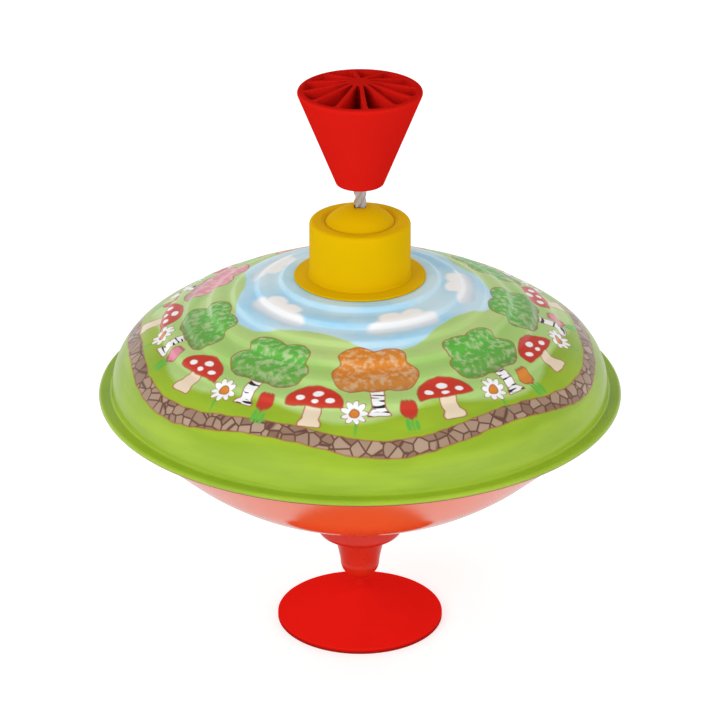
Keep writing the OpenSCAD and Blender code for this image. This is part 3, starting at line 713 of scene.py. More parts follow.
def daisies(tree, under, polar, colours):
    """White daisies of nine petals on thin stalks, with amber hearts, right of the trees."""
    at = planted(tree, polar, PLANTS, phase=0.52, foot=85, spread=(2, 3), seed=53)[0]
    under = painted(tree, under, ovals(tree, at, [(0.3, 3, 0.5, 4.2)]), colours.leaf)
    moved = add(tree, "VectorMath ADD", at, (0, -8, 0))
    way = add(tree, "SeparateXYZ", moved).node.outputs
    angle = add(tree, "Math ARCTAN2", way["Y"], way["X"])
    waves = add(tree, "Math MULTIPLY", angle, 4.5)
    wave = add(tree, "Math COSINE", waves)
    bulge = add(tree, "Math ABSOLUTE", wave)
    petals = add(tree, "Math MULTIPLY", bulge, 2.2)
    round_shape = ovals(tree, at, [(0, 8, 2.7, 2.7)])
    shape = add(tree, "Math SUBTRACT", round_shape, petals)
    under = painted(tree, under, shape, colours.cloud, colours.ink)
    return painted(tree, under, ovals(tree, at, [(0, 8, 1.6, 1.5)]), colours.amber, colours.ink)


def tulips(tree, under, polar, colours):
    """Tulips in red, pink and orange, with a pair of leaves, left of the trees."""
    at, dice = planted(tree, polar, PLANTS, phase=0.18, foot=85, spread=(2, 3), seed=71)
    blades = ovals(tree, at, [(0, 3.4, 0.5, 5), (-1.5, 2.6, 0.8, 3), (1.6, 2.2, 0.8, 2.6)], 0.6)
    under = painted(tree, under, standing(tree, at, blades), colours.leaf)
    cup = ovals(tree, at, [(0, 9, 1.5, 3.2), (-1.5, 9.4, 1.3, 2.8), (1.5, 9.4, 1.3, 2.8)], 0.3)
    hue = either(tree, dice[0], colours.berry, colours.amber, colours.blossom)
    return painted(tree, under, cup, hue, colours.ink)


def footpath(tree, under, at_tin, polar, colours):
    """A winding footpath of brown stones, about 4.4 mm across, round the shoulder."""
    turn, _, reach = polar
    waves = add(tree, "Math MULTIPLY_ADD", turn, 6, 0.8)
    swing = add(tree, "Math SINE", waves)
    middle = add(tree, "Math MULTIPLY_ADD", swing, 2.6, 90)
    off = add(tree, "Math SUBTRACT", reach, middle)
    side = add(tree, "Math ABSOLUTE", off)
    shape = add(tree, "Math SUBTRACT", side, 2.9)
    stones = {"Vector": at_tin, "Scale": 1 / 4.4}
    joints = add(tree, "TexVoronoi", stones, feature="DISTANCE_TO_EDGE")
    face = add(tree, "MapRange", joints, 0.03, 0.1, 0, 1)
    tone = add(tree, "SeparateColor", add(tree, "TexVoronoi", stones, out="Color"))
    pale = add(tree, "Mix", {0: tone, 6: colours.bark, 7: to_linear("#BBA08A")}, **COLOUR)
    paved = add(tree, "Mix", {0: face, 6: to_linear("#6B4A3C"), 7: pale}, **COLOUR)
    return painted(tree, under, shape, paved, colours.ink, edge=0.35)


def meadow_ground(tree, at, polar, colours):
    """Sky round the crown, a pale far meadow with rolling hills, and bright grass over shoulder and rim,
    laid on in broad strokes."""
    turn, _, reach = polar
    strokes = add(tree, "VectorMath MULTIPLY", at, (0.03, 0.03, 0.2))
    wash = add(tree, "TexNoise", {"Vector": strokes, "Scale": 1, "Detail": 4, "Roughness": 0.55})
    thick = add(tree, "MapRange", wash, 0.38, 0.62, 0, 1)
    under = add(tree, "Mix", {0: thick, 6: colours.sky, 7: colours.sky_deep}, **COLOUR)
    far = add(tree, "Mix", {0: thick, 6: colours.meadow, 7: to_linear("#AED27A")}, **COLOUR)
    near = add(tree, "Mix", {0: thick, 6: colours.grass, 7: to_linear("#93B428")}, **COLOUR)
    hill = to_linear("#A6D070")
    # Waves round the tin, their phase, distance from the crown and swing, the ink and its soft edge
    edges = ((5, 0.4, 46, 4, far, 0.5), (8, 1.1, 58, 3, hill, 1.2), (7, 2, 79, 3.5, near, 1.2))
    for number, phase, start, swing, ink, soft in edges:
        waves = add(tree, "Math MULTIPLY_ADD", turn, number, phase)
        wave = add(tree, "Math SINE", waves)
        hump = add(tree, "Math MULTIPLY_ADD", wave, swing, start)
        shape = add(tree, "Math SUBTRACT", hump, reach)
        under = painted(tree, under, shape, ink, edge=soft)
        if ink is hill:
            beyond = add(tree, "Math ADD", shape, 9)
            under = painted(tree, under, beyond, far, edge=6)
    return under


def printed_tin(colours, crown, hem):
    """Offset-printed tinplate under clear lacquer: flat inks laid on like water colour, with hand-drawn
    wavering edges, and the soft gloss of the lacquer over them. Below the hem line it is deep red: the
    bowl's red edge, darkened with painted shade of the hem gap."""
    made, tree, shader, at = lacquered("printed_tinplate_lacquered", roughness=0.2)
    waver = add(tree, "TexNoise", {"Vector": at, "Scale": 1 / 7, "Detail": 2}, out="Color")
    shift = add(tree, "VectorMath MULTIPLY_ADD", waver, (1.8, 1.8, 1.8), at)
    drawn = add(tree, "VectorMath SUBTRACT", shift, (0.9, 0.9, 0.9))
    way = add(tree, "SeparateXYZ", drawn).node.outputs
    back = add(tree, "Math MULTIPLY", way["Y"], -1)
    turn = add(tree, "Math ARCTAN2", way["X"], back)
    flat = add(tree, "VectorMath MULTIPLY", drawn, (1, 1, 0))
    radius = add(tree, "VectorMath LENGTH", flat, out="Value")
    # Weighting the drop below the crown makes the distance from it close to the length along the tin
    drop = 1.3
    sink = (0, 0, -drop * crown / MM)
    tall = add(tree, "VectorMath MULTIPLY_ADD", drawn, (1, 1, drop), sink)
    reach = add(tree, "VectorMath LENGTH", tall, out="Value")
    polar = (turn, radius, reach)
    under = meadow_ground(tree, at, polar, colours)
    under = clouds(tree, under, polar, colours)
    under = birches(tree, under, at, polar, colours)
    under = footpath(tree, under, at, polar, colours)
    under = toadstools(tree, under, polar, colours)
    under = tulips(tree, under, polar, colours)
    under = daisies(tree, under, polar, colours)
    height = add(tree, "SeparateXYZ", at, out="Z")
    over_hem = add(tree, "Math SUBTRACT", height, hem / MM)
    # Painted shade: the deep red line under the rim stands for the bowl's edge in the shade of the hem gap
    under = painted(tree, under, over_hem, colours.hem_edge_shaded_red, edge=0.1)
    feed(tree, shader, {"Base Color": under})
    return made


# Pieces


class SPINTOP_OT_foot(bpy.types.Operator):
    """Foot: a shallow red cone with a sleeve round the spindle, hollow and ribbed underneath"""

    bl_idname = "spintop.foot"
    bl_label = "Foot"

    def execute(self, context):
        s = context.scene.spintop.foot
        outer = high("foot_disc").x
        sleeve_top = high("foot_disc").z
        pin = high("pivot_pin").x + TUBE_FIT
        pin_floor = low("pivot_pin").z
        face_out = outer - s.edge_round
        face_in = s.sleeve_radius + s.root_fillet
        hollow = outer - s.ring_width
        small = 0.25 * MM

        def face(r):
            t = (face_out - r) / (face_out - face_in)
            return s.edge_height + (s.cone_height - s.edge_height) * t - 4 * s.dish * t * (1 - t)

        def ceiling(r):
            return face(r) - s.wall

        def base(r):
            return min(s.rib_lift, ceiling(r))

        face_steps = 30
        face_path = [face_out - (face_out - face_in) * i / face_steps for i in range(1, face_steps)]
        tilt = math.degrees(math.atan((s.cone_height - s.edge_height - 4 * s.dish) / (face_out - face_in)))
        across, along = 24, 16
        turns = across * s.ribs
        half = math.pi / s.ribs
        skin = Skin()
        skin.turned(
            [(hollow, base(hollow))]
            + arc((hollow + small, small), small, 180, 270, 4)
            + arc((face_out, s.edge_round), s.edge_round, -90, 0)
            + arc((face_out, s.edge_height - s.edge_round), s.edge_round, 0, 90 - tilt)
            + [(r, face(r)) for r in face_path]
            + arc((face_in, s.cone_height + s.root_fillet), s.root_fillet, 270 - tilt, 180)
            + arc((s.sleeve_radius - small, sleeve_top - small), small, 0, 90, 4)
            + [(pin, sleeve_top), (pin, pin_floor), (0, pin_floor)],
            turns,
        )
        inner = s.boss_radius / 2
        skin.turned([(inner, s.rib_lift), (0, s.rib_lift)], turns)
        square = sector_square(across, along)
        rib = s.rib_thickness / 2
        start, end = s.boss_radius, hollow - s.pocket_margin
        # Inset of a pocket's side in millimetres, the face that it starts from, and its rise from there
        rounded_in = ((0, base, 0), (0.1, base, 0.05), (0.25, base, 0.25))
        rounded_out = ((0.35, ceiling, -0.4), (0.5, ceiling, -0.12), (0.8, ceiling, 0))
        for i in range(s.ribs):
            middle = (2 * i + 1) * half
            loops = [pocket_loop(square, middle, half, inner, hollow, None, base)]
            for inset, level, rise in rounded_in + rounded_out:
                g = inset * MM
                sides = (start + g, end - g, rib + g)
                loops.append(pocket_loop(square, middle, half, *sides, lambda r: level(r) + rise * MM))
            for shrink in (0.7, 0.4, 0.15):
                loops.append(pocket_loop(square, middle, half, start, end, rib, ceiling, shrink=shrink))
            centre = (start + end) / 2
            loops.append([spot(centre, middle, ceiling(centre))])
            skin.chain(loops)
        finish_red = satin_red(context.scene.spintop.colours)
        dress(piece("foot_cone", skin), finish_red, "foot", "red_plastic", "foot_disc")
        return {"FINISHED"}


class SPINTOP_OT_neck(bpy.types.Operator):
    """Neck: a polished red socket with a rounded end, under its step ring"""

    bl_idname = "spintop.neck"
    bl_label = "Neck and step ring"

    def execute(self, context):
        s = context.scene.spintop.neck
        seat = low("lower_shell").z
        ring_radius = high("neck_socket").x
        ring_z = seat - s.ring_height
        mouth = math.acos(s.mouth_radius / s.low_radius)
        end_z = low("neck_socket").z + s.end_height * math.sin(mouth)
        waist_z = ring_z - s.fillet
        end_steps, flare_steps = 24, 16
        end = [mouth * (1 - i / end_steps) for i in range(end_steps + 1)]
        flare = [i / flare_steps for i in range(1, flare_steps)]
        tube = high("guide_tube").x + TUBE_FIT
        bush = high("pivot_bush").x + TUBE_FIT
        spigot_top = high("neck_socket").z
        thrust_z = low("thrust_plate").z
        bush_z = low("pivot_bush").z
        swell, climb = s.top_radius - s.low_radius, waist_z - end_z
        flare_power = 1.25
        skin = Skin()
        skin.turned(
            [(s.low_radius * math.cos(a), end_z - s.end_height * math.sin(a)) for a in end]
            + [(s.low_radius + swell * t**flare_power, end_z + climb * t) for t in flare]
            + arc((s.top_radius + s.fillet, waist_z), s.fillet, 170, 90)
            + arc((ring_radius - s.ring_round, ring_z + s.ring_round), s.ring_round, -90, 0, 16)
            + [(ring_radius, seat), (s.spigot_radius, seat), (s.spigot_radius, spigot_top)]
            + [(tube, spigot_top), (tube, thrust_z)]
            + [(bush, thrust_z), (bush, bush_z), (s.mouth_radius, bush_z)],
            closed=True,
        )
        finish_red = polished_red(context.scene.spintop.colours)
        dress(piece("neck_and_step_ring", skin), finish_red, "spinner", "red_gloss_plastic", "neck_socket")
        return {"FINISHED"}


class SPINTOP_OT_bowl(bpy.types.Operator):
    """Bowl: red enamelled tin with its air holes"""

    bl_idname = "spintop.bowl"
    bl_label = "Bowl"

    def execute(self, context):
        s = context.scene.spintop.tin
        neck = context.scene.spintop.neck
        rim = high("upper_shell").x
        seat = low("lower_shell").z
        rim_z = low("upper_shell").z
        bowl = rim - s.hem_width - s.hem_gap
        start = Vector((high("neck_socket").x + s.bowl_seat, seat))
        top = Vector((bowl, rim_z - s.hem_gap))
        along = Vector((math.cos(s.flank_slope), math.sin(s.flank_slope)))
        inward = Vector((-along.y, along.x))
        foot = top - along * s.flank_length
        chord = start - foot
        radius = chord.length_squared / (2 * chord.dot(inward))
        centre = foot + inward * radius
        turn = math.degrees(math.atan2(start.y - centre.y, start.x - centre.x))
        flange = high("lower_shell").z - s.sheet
        seat_end = start.x - 0.4 * MM
        floor_steps, flank_steps = 56, 8
        flank = [tuple(foot.lerp(top, i / flank_steps)) for i in range(1, flank_steps)]
        path = (
            [(neck.spigot_radius + TUBE_FIT, seat), (seat_end, seat)]
            + arc(centre, radius, turn, math.degrees(s.flank_slope) - 90, floor_steps)
            + flank
            + [tuple(top), (bowl, flange), (rim - s.rim_height / 2, flange)]
        )
        skin = Skin()
        skin.turned(sheet(path, s.sheet), closed=True)
        made = piece("tin_bowl", skin)
        holes = Skin()
        hole_turns = 24
        for number, size, circle in (
            (s.inlets, s.inlet_radius, s.inlet_circle),
            (s.outlets, s.outlet_radius, s.outlet_circle),
        ):
            for i in range(number):
                x, y, _ = spot(circle, math.tau * i / number, 0)
                rings = [ring(size, h, hole_turns, 0) for h in (0, rim_z)]
                sides = [[(x + px, y + py, z) for px, py, z in points] for points in rings]
                holes.chain([[(x, y, 0)]] + sides + [[(x, y, rim_z)]])
        cutter = piece("bowl_hole_cutter", holes)
        cut = made.modifiers.new("holes", "BOOLEAN")
        cut.object = cutter
        cut.operation = "DIFFERENCE"
        cut.solver = "EXACT"
        graph = context.evaluated_depsgraph_get()
        made.data = bpy.data.meshes.new_from_object(made.evaluated_get(graph))
        made.data.name = made.name
        made.modifiers.clear()
        bpy.data.objects.remove(cutter)
        finish_red = red_lacquer(context.scene.spintop.colours)
        dress(made, finish_red, "spinner", "red_lacquered_tin", "lower_shell")
        return {"FINISHED"}


class SPINTOP_OT_dome(bpy.types.Operator):
    """Dome: printed tin with pressed rings, a round shoulder and a rolled rim"""

    bl_idname = "spintop.dome"
    bl_label = "Dome"

    def execute(self, context):
        s = context.scene.spintop.tin
        rim = high("upper_shell").x
        rim_z = low("upper_shell").z
        rim_top = rim_z + s.rim_height
        crown_z = high("upper_shell").z
        hole = context.scene.spintop.collar.spigot_radius + TUBE_FIT
        seat = high("collar").x + s.crown_seat
        wall = Vector((rim - s.rim_width, rim_top + s.rim_fillet))
        shoulder = wall - s.shoulder * Vector((math.sin(s.wall_slope), math.cos(s.wall_slope)))
        normal = Vector((math.sin(s.crown_slope), math.cos(s.crown_slope)))
        chord = Vector((seat, crown_z)) - shoulder
        radius = (chord.length_squared - s.shoulder**2) / (2 * (chord.dot(normal) - s.shoulder))
        centre = Vector((seat, crown_z)) - radius * normal
        meet = math.atan2(shoulder.x - centre.x, shoulder.y - centre.y)
        crown_end = centre.x + radius * math.sin(meet)
        first = seat + s.press_lead
        rings = int((crown_end - first) / s.press_pitch)

        def wave(x):
            if x < s.press_riser:
                return math.cos(math.pi * x / s.press_riser)
            return -math.cos(math.pi * (x - s.press_riser) / (s.press_pitch - s.press_riser))

        def crown(r, lift):
            fade = min(1, (r - seat) / s.press_lead, (crown_end - r) / s.press_pitch)
            plain = centre.y + math.sqrt(radius**2 - (r - centre.x) ** 2)
            return (r, plain + s.press_depth / 2 * fade * lift)

        lead_steps, riser_steps, tread_steps = 6, 8, 12
        steps = [s.press_riser * i / riser_steps for i in range(riser_steps)]
        tread = s.press_pitch - s.press_riser
        steps += [s.press_riser + tread * i / tread_steps for i in range(tread_steps)]
        path = (
            [(hole, crown_z), (seat - 0.3 * MM, crown_z)]
            + [crown(seat + s.press_lead * i / lead_steps, 1) for i in range(lead_steps)]
            + [crown(first + k * s.press_pitch + x, wave(x)) for k in range(rings) for x in steps]
            + arc(shoulder, s.shoulder, 90 - math.degrees(meet), 90 - math.degrees(s.wall_slope), 32)
            + arc((wall.x + s.rim_fillet, wall.y), s.rim_fillet, 180, 270)[1:]
            + arc((rim - s.rim_height / 2, rim_z + s.rim_height / 2), s.rim_height / 2, 90, -90, 16)
            + [(rim - s.hem_width, rim_z)]
        )
        skin = Skin()
        skin.turned(sheet(path, -s.sheet), closed=True)
        tin = printed_tin(context.scene.spintop.colours, crown_z, rim_z + s.hem_line)
        dress(piece("tin_dome", skin), tin, "spinner", "printed_tin", "upper_shell")
        return {"FINISHED"}


class SPINTOP_OT_collar(bpy.types.Operator):
    """Collar: a yellow cup with a flange on the crown"""

    bl_idname = "spintop.collar"
    bl_label = "Collar"

    def execute(self, context):
        s = context.scene.spintop.collar
        flange = high("collar").x
        top = high("collar").z
        crown = high("upper_shell").z
        spigot_z = low("collar").z
        groove = low("clutch_retainer").z
        groove_top = high("clutch_retainer").z
        groove_out = high("clutch_retainer").x
        root = crown + s.flange_root
        path = eased(
            [
                (s.lip_radius + s.lip_edge, top, s.lip_edge),
                (s.lip_radius, top - s.lip_fall),
                (s.lip_radius, top - s.lip_thickness),
                (s.cavity_radius, top - s.lip_thickness),
                (s.cavity_radius, groove_top),
                (groove_out, groove_top),
                (groove_out, groove),
                (s.cavity_radius, groove),
                (s.cavity_radius, spigot_z),
                (s.spigot_radius, spigot_z),
                (s.spigot_radius, crown),
                (flange, crown),
                (flange, crown + s.flange_edge),
                (s.foot_radius, root, s.fillet),
                (s.top_radius, top, s.edge_round),
            ],
            0.35 * MM,
            8,
        )
        skin = Skin()
        skin.turned(path, closed=True)
        finish_yellow = satin_yellow(context.scene.spintop.colours)
        dress(piece("yellow_collar", skin), finish_yellow, "spinner", "yellow_plastic", "collar")
        return {"FINISHED"}


def rod_turn(rod, z):
    """Turn of the rod's section at a height: its corners point sideways just under the handle."""
    return math.radians(45) + math.tau * (z - low("handle").z + rod.phase) / rod.lead


class SPINTOP_OT_nut(bpy.types.Operator):
    """Drive nut: a yellow dome with a twisted square hole, a skirt and saw teeth under it"""

    bl_idname = "spintop.nut"
    bl_label = "Drive nut"

    def execute(self, context):
        s = context.scene.spintop.collar
        rod = context.scene.spintop.rod
        collar_top = high("collar").z
        dome_top = collar_top + s.dome_height
        rise = s.dome_height + s.lip_fall
        ball = (s.nut_radius**2 + rise**2) / (2 * rise)
        skirt_top = collar_top - s.lip_thickness - s.nut_gap
        skirt_z = skirt_top - s.skirt_height
        skirt = s.cavity_radius - s.nut_gap
        skirt_in = skirt - s.skirt_wall
        hollow_top = collar_top - s.crown_depth
        half = rod.width / 2 + s.hole_room
        corner = half * math.sqrt(2) - 0.15 * MM
        # Places along a tooth, the last of them just before the root of the next
        shares = (0, 0.125, 0.25, 0.375, 0.5, 0.625, 0.75, 0.999)
        angles = [math.tau * (i + f) / s.teeth for i in range(s.teeth) for f in shares]
        teeth = [f for i in range(s.teeth) for f in shares]

        def round_at(radius, heights):
            """A loop at one height, or at a height for each of its points."""
            heights = heights if isinstance(heights, list) else [heights] * len(angles)
            return [spot(radius, a + turn, z) for a, z in zip(angles, heights)]

        def ball_z(radius):
            return dome_top - ball + math.sqrt(ball**2 - radius**2)

        def square_at(turned, height, grow):
            """A loop of the square hole, at a height or on the dome."""
            points = []
            for a in angles:
                radius = min((half + grow) / max(abs(math.cos(a)), abs(math.sin(a))), corner + grow)
                z = ball_z(radius) if height is None else height
                points.append(spot(radius, a + turned, z))
            return points

        edge = 0.25 * MM
        mouth = ball_z(corner) - edge
        steps = 40
        heights = [hollow_top + (mouth - hollow_top) * i / steps for i in range(steps + 1)]
        loops = [square_at(rod_turn(rod, z), z, 0) for z in heights]
        turn = rod_turn(rod, mouth)
        loops.append(square_at(turn, mouth + 0.7 * edge, 0.3 * edge))
        loops.append(square_at(turn, None, edge))
        outward = 14
        for i in range(1, outward + 1):
            radius = corner + edge + (s.nut_radius - corner - edge) * i / outward
            loops.append(round_at(radius, ball_z(radius)))
        saw = [skirt_z - s.tooth_height * f for f in teeth]
        loops += [
            round_at(s.nut_radius, skirt_top),
            round_at(skirt, skirt_top),
            round_at(skirt, skirt_z),
            round_at(skirt, saw),
            round_at(skirt_in, saw),
            round_at(skirt_in, skirt_z),
            round_at(skirt_in, hollow_top),
        ]
        skin = Skin()
        skin.chain(loops)
        # The hole's foot is met by the quarter turn of the hollow's edge that lies nearest
        quarter = len(angles) // 4
        shift = round((turn - rod_turn(rod, hollow_top)) / (math.tau / 4)) * quarter
        first = list(range(len(angles)))
        last = list(range(len(skin.points) - len(angles), len(skin.points)))
        skin.bridge(last, [first[(i + shift) % len(first)] for i in range(len(first))])
        finish_yellow = satin_yellow(context.scene.spintop.colours)
        dress(piece("yellow_drive_nut", skin), finish_yellow, "drive_nut", "yellow_plastic", "drive_nut")
        return {"FINISHED"}


class SPINTOP_OT_rod(bpy.types.Operator):
    """Rod: square steel bar twisted along its length, with a round tenon at its foot"""

    bl_idname = "spintop.rod"
    bl_label = "Twisted rod"

    def execute(self, context):
        s = context.scene.spintop.rod
        bottom = low("spiral_rod").z
        top = high("spiral_rod").z
        shank = low("handle").z + context.scene.spintop.handle.end_edge
        start = bottom + s.tenon_length
        half = s.width / 2
        flat = half - s.corner
        side = [(half, -flat), (half, -flat / 3), (half, flat / 3)]
        side += arc((flat, flat), s.corner, 0, 75, 4)
        section = []
        for quarter in range(4):
            corner = math.pi / 2 * quarter
            section += [(math.hypot(x, y), math.atan2(y, x) + corner) for x, y in side]
        step = math.radians(5)
        steps = math.ceil((rod_turn(s, shank) - rod_turn(s, start)) / step)
        heights = [start + (shank - start) * i / steps for i in range(steps + 1)] + [top]
        angles = [a + rod_turn(s, start) for r, a in section]
        loops = [[(0, 0, bottom)]] + [[spot(s.tenon_radius, a, z) for a in angles] for z in (bottom, start)]
        for z in heights:
            turn = rod_turn(s, min(z, shank))
            loops.append([spot(r, a + turn, z) for r, a in section])
        loops.append([(0, 0, top)])
        skin = Skin()
        skin.chain(loops)
        steel = context.scene.spintop.colours.steel
        looks = {"roughness": 0.6, "stretch": (1, 1, 0.12), "grain": 0.5}
        made = worked_metal("zinc_plated_drawn_steel", steel, **looks)
        dress(piece("twisted_rod", skin), made, "plunger", "plated_steel", "spiral_rod")
        return {"FINISHED"}


class SPINTOP_OT_handle(bpy.types.Operator):
    """Handle: a red cone with deep pockets between the radial ribs of its open top"""

    bl_idname = "spintop.handle"
    bl_label = "Pump handle"

    def execute(self, context):
        s = context.scene.spintop.handle
        bottom = low("handle").z
        rim_z = bottom + s.height
        hub_top = high("handle").z
        shank_top = high("spiral_rod").z
        bore = high("spiral_rod").x + TUBE_FIT
        mouth = bore + 0.3 * MM
        taper = (s.top_radius - s.end_radius) / s.height
        lean = math.atan(taper)
        lean_deg = math.degrees(lean)
        end_z = bottom + s.end_edge
        end_centre = (s.end_radius - s.end_edge * (1 / math.cos(lean) - math.tan(lean)), end_z)
        rim_inset = s.rim_edge * (1 / math.cos(lean) + math.tan(lean))
        rim_centre = (s.top_radius - rim_inset, rim_z - s.rim_edge)
        rim_in = s.top_radius - s.wall - s.rim_edge / 2
        floor_z = bottom + s.floor
        floor_out = s.end_radius + taper * s.floor - s.wall
        inner = s.hub_radius - 0.9 * MM
        outer = rim_in + s.edge
        across, along = 20, 18
        turns = across * s.ribs
        half = math.pi / s.ribs
        rib_angle = s.rib_turn - math.pi / 2

        def top(r):
            share = min(max((rim_in - r) / (rim_in - s.hub_radius), 0), 1)
            return rim_z + (hub_top - rim_z) * share

        skin = Skin()
        skin.turned(
            [(outer, rim_z)]
            + arc(rim_centre, s.rim_edge, 90, -lean_deg)
            + arc(end_centre, s.end_edge, -lean_deg, -90)
            + [(mouth, bottom), (mouth, end_z), (bore, end_z), (bore, shank_top), (0, shank_top)],
            turns,
            rib_angle,
        )
        skin.turned([(inner, hub_top), (0, hub_top)], turns, rib_angle)
        square = sector_square(across, along)
        rib = s.rib_thickness / 2
        # Inset and fall of the loops that round a pocket's edge, as shares of its rounding
        rounded = ((0.6, 0), (0.4, 0.08), (0.15, 0.3), (0, 0.7), (0, 1.2))
        for i in range(s.ribs):
            middle = rib_angle + (2 * i + 1) * half

            def level(inset, share, lift):
                """A loop of the pocket: from the top face at share 0 to its floor at share 1."""
                end = rim_in + (floor_out - rim_in) * share

                def height(r):
                    return top(r) + (floor_z - top(r)) * share + lift

                sides = (s.hub_radius + inset, end - inset, rib + inset)
                return pocket_loop(square, middle, half, *sides, height)

            loops = [pocket_loop(square, middle, half, inner, outer, None, top)]
            loops += [level(-inset * s.edge, 0, -fall * s.edge) for inset, fall in rounded]
            loops += [level(0.1 * MM * share, share, 0) for share in (0.25, 0.5, 0.75, 0.95)]
            loops += [level(0.2 * MM, 0.98, 0), level(0.4 * MM, 1, 0)]
            centre = (s.hub_radius + floor_out) / 2
            loops.append([spot(centre, middle, floor_z)])
            skin.chain(loops)
        finish_red = handle_red_painted_shade(context.scene.spintop.colours)
        dress(piece("pump_handle", skin), finish_red, "plunger", "red_plastic", "handle")
        return {"FINISHED"}


class SPINTOP_OT_works(bpy.types.Operator):
    """Works: finishes of the pieces inside the body"""

    bl_idname = "spintop.works"
    bl_label = "Works inside"

    def execute(self, context):
        acetal = natural_acetal()
        # Each metal has its roughness, the stretch of its lines and their spacing in millimetres
        plated = worked_metal("zinc_plated_steel_turned", to_linear("#C8C6C4"), 0.3, (1, 1, 4), 0.4)
        spring = worked_metal("blued_spring_steel", to_linear("#6E6E74"), 0.34, (0.2, 1, 1), 0.3)
        sheet_alloy = worked_metal("rolled_aluminium", to_linear("#D9DADC"), 0.38, (0.08, 1, 1), 0.35)
        brass = worked_metal("rolled_brass", to_linear("#D9B36A"), 0.28, (0.1, 1, 1), 0.3)
        works = (
            (plated, ("pivot_pin", "thrust_plate", "guide_tube")),
            (spring, ("pin_clip", "neck_lock_ring", "collar_lock_ring", "clutch_retainer", "rod_stop")),
            (acetal, ("pivot_bush", "reed_drum", "clutch_ring")),
            (sheet_alloy, ("reed_plate", "reed_rivets")),
            (brass, ("reeds",)),
            (pressed_felt(), ("drum_gasket",)),
        )
        for made, names in works:
            for name in names:
                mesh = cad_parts[name].data
                mesh.materials.clear()
                mesh.materials.append(made)
        return {"FINISHED"}


# Stage


LAMP_SIZE = 1.0
# Brightness of the paper in view and as the lacquer mirrors it
PAPER_SHOWN = 1.19
PAPER_MIRRORED = 0.76


def lamp(name, place_at, aim, power):
    """A square soft lamp that shines at a point and gives no highlights."""
    light = bpy.data.lights.new(name, "AREA")
    light.size = LAMP_SIZE
    light.energy = power
    made = bpy.data.objects.new(name, light)
    made.location = place_at
    made.rotation_euler = (Vector(aim) - Vector(place_at)).to_track_quat("-Z", "Y").to_euler()
    made.visible_camera = False
    made.visible_glossy = False
    bpy.context.scene.collection.objects.link(made)


def seen_rays(tree):
    """1 for rays that show the surroundings in view, 0 for those that light the object or mirror in it."""
    path = add(tree, "LightPath").node.outputs
    return add(tree, "Math MAXIMUM", path["Is Camera Ray"], path["Is Transmission Ray"])


def paper_floor(colours):
    """White paper sweep: it shows as white with the object's soft shadow, and lights the underside as paper
    does. In the lacquer it mirrors as white, and close round the foot as a painted reflection of the foot's
    red with painted shade: a dimmed red seen only in mirrors."""
    made = bpy.data.materials.new("white_paper_sweep")
    made.use_nodes = True
    tree = made.node_tree
    tree.nodes.clear()
    at = place(tree)
    fibre = add(tree, "TexNoise", {"Vector": at, "Scale": 1 / 3, "Detail": 2})
    tone = add(tree, "MapRange", {0: fibre, 3: 0.84, 4: 0.86})
    paper = add(tree, "BsdfDiffuse", {"Color": tone})
    away = add(tree, "VectorMath LENGTH", at, out="Value")
    # The share that takes the shadow falls off with the distance from the axis in millimetres
    near = add(tree, "MapRange", away, 45, 160, 0.6, 0.04)
    shown = add(tree, "BsdfDiffuse", {"Color": near})
    rest = add(tree, "Math SUBTRACT", PAPER_SHOWN, near)
    glow = add(tree, "Emission", {"Color": (1, 1, 1), "Strength": rest})
    white = add(tree, "AddShader", shown, glow)
    foot = high("foot_disc").x / MM
    # Painted reflection and shade: mirrors see a dim red ring close round the foot
    red_end, white_start = foot + 4, foot + 7
    clear = add(tree, "MapRange", away, red_end, white_start, 0, 1)
    painted_foot_reflection = add(tree, "Mix", {0: clear, 6: darker(colours.red, 0.7), 7: [PAPER_MIRRORED] * 3}, **COLOUR)
    mirrored = add(tree, "Emission", {"Color": painted_foot_reflection, "Strength": 1})
    glossy = add(tree, "LightPath", out="Is Glossy Ray")
    lit = add(tree, "MixShader", glossy, paper, mirrored)
    mixed = add(tree, "MixShader", seen_rays(tree), lit, white)
    add(tree, "OutputMaterial", {"Surface": mixed})
    return made


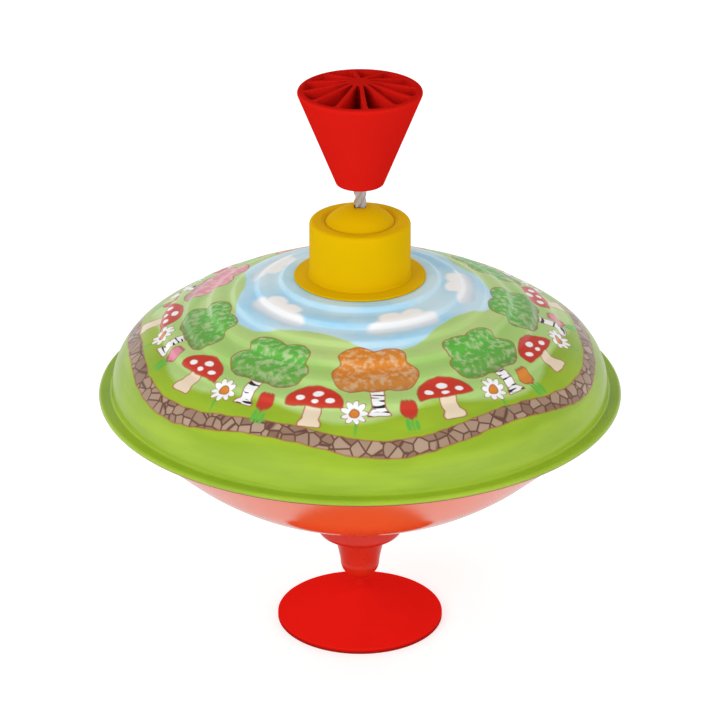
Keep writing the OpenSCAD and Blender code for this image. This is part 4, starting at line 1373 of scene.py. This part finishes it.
class SPINTOP_OT_stage(bpy.types.Operator):
    """Stage: white paper, soft lamps, white surroundings and the camera"""

    bl_idname = "spintop.stage"
    bl_label = "Stage"

    def execute(self, context):
        s = context.scene.spintop.stage
        scene = context.scene
        scene.view_settings.view_transform = "Standard"
        skin = Skin()
        floor_radius = 6
        skin.turned([(floor_radius, 0), (0, 0)], 64)
        floor = piece("paper_floor", skin)
        floor.data.materials.append(paper_floor(scene.spintop.colours))
        scene.world = bpy.data.worlds.new("white_studio")
        scene.world.use_nodes = True
        tree = scene.world.node_tree
        tree.nodes.clear()
        up = add(tree, "SeparateXYZ", add(tree, "TexCoord", out="Generated"), out="Z")
        lit = add(tree, "MapRange", up, 0, 1, s.walls, s.ceiling)
        mirrored = add(tree, "MapRange", up, 0, 0.5, 1, s.ceiling / 2)
        glossy = add(tree, "LightPath", out="Is Glossy Ray")
        level = add(tree, "Mix", {0: glossy, 2: lit, 3: mirrored})
        dim = add(tree, "Background", {"Color": (1, 1, 1), "Strength": level})
        white = add(tree, "Background", {"Color": (1, 1, 1), "Strength": 1})
        mixed = add(tree, "MixShader", seen_rays(tree), dim, white)
        add(tree, "OutputWorld", {"Surface": mixed})
        middle, foot = (0, 0, 0.11), (0, 0, 0.02)
        lamp("key_lamp", (-1.0, -1.2, 0.9), middle, s.key)
        lamp("fill_lamp", (1.1, -1.0, 0.3), middle, s.fill)
        lamp("back_lamp", (0, 1.5, 0.6), foot, s.back)
        camera = bpy.data.cameras.new("photo_camera")
        camera.lens = s.lens
        camera.sensor_width = 36
        made = bpy.data.objects.new("photo_camera", camera)
        made.location = (0, -s.camera_back, s.camera_height)
        made.rotation_euler = (math.pi / 2 - s.camera_pitch, 0, 0)
        scene.collection.objects.link(made)
        scene.camera = made
        return {"FINISHED"}


class SPINTOP_PT_panel(bpy.types.Panel):
    """Lists the pieces of the spinning top and their sizes"""

    bl_idname = "SPINTOP_PT_panel"
    bl_label = "Spinning Top"
    bl_space_type = "VIEW_3D"
    bl_region_type = "UI"
    bl_category = "Spinning Top"

    def draw(self, context):
        for operator in OPERATORS:
            self.layout.operator(operator.bl_idname)
        for group in SIZE_GROUPS:
            box = self.layout.box()
            values = getattr(context.scene.spintop, group)
            for key in values.bl_rna.properties.keys():
                if key not in ("rna_type", "name"):
                    box.prop(values, key)


SIZE_GROUPS = ("foot", "neck", "tin", "collar", "rod", "handle", "colours", "stage")
SIZES = (FootSizes, NeckSizes, TinSizes, CollarSizes, RodSizes, HandleSizes, TopColours, StageSizes)
SHELLS = (SPINTOP_OT_foot, SPINTOP_OT_neck, SPINTOP_OT_bowl, SPINTOP_OT_dome, SPINTOP_OT_collar)
DRIVE = (SPINTOP_OT_nut, SPINTOP_OT_rod, SPINTOP_OT_handle, SPINTOP_OT_works)
OPERATORS = (*SHELLS, *DRIVE, SPINTOP_OT_stage)
CLASSES = (*SIZES, SpinTop, *OPERATORS, SPINTOP_PT_panel)


def register():
    for made in CLASSES:
        bpy.utils.register_class(made)
    bpy.types.Scene.spintop = PointerProperty(type=SpinTop)


def unregister():
    del bpy.types.Scene.spintop
    for made in reversed(CLASSES):
        bpy.utils.unregister_class(made)


def main():
    register()
    bpy.ops.spintop.foot()
    bpy.ops.spintop.neck()
    bpy.ops.spintop.bowl()
    bpy.ops.spintop.dome()
    bpy.ops.spintop.collar()
    bpy.ops.spintop.nut()
    bpy.ops.spintop.rod()
    bpy.ops.spintop.handle()
    bpy.ops.spintop.works()
    bpy.ops.spintop.stage()


if __name__ == "__main__":
    main()
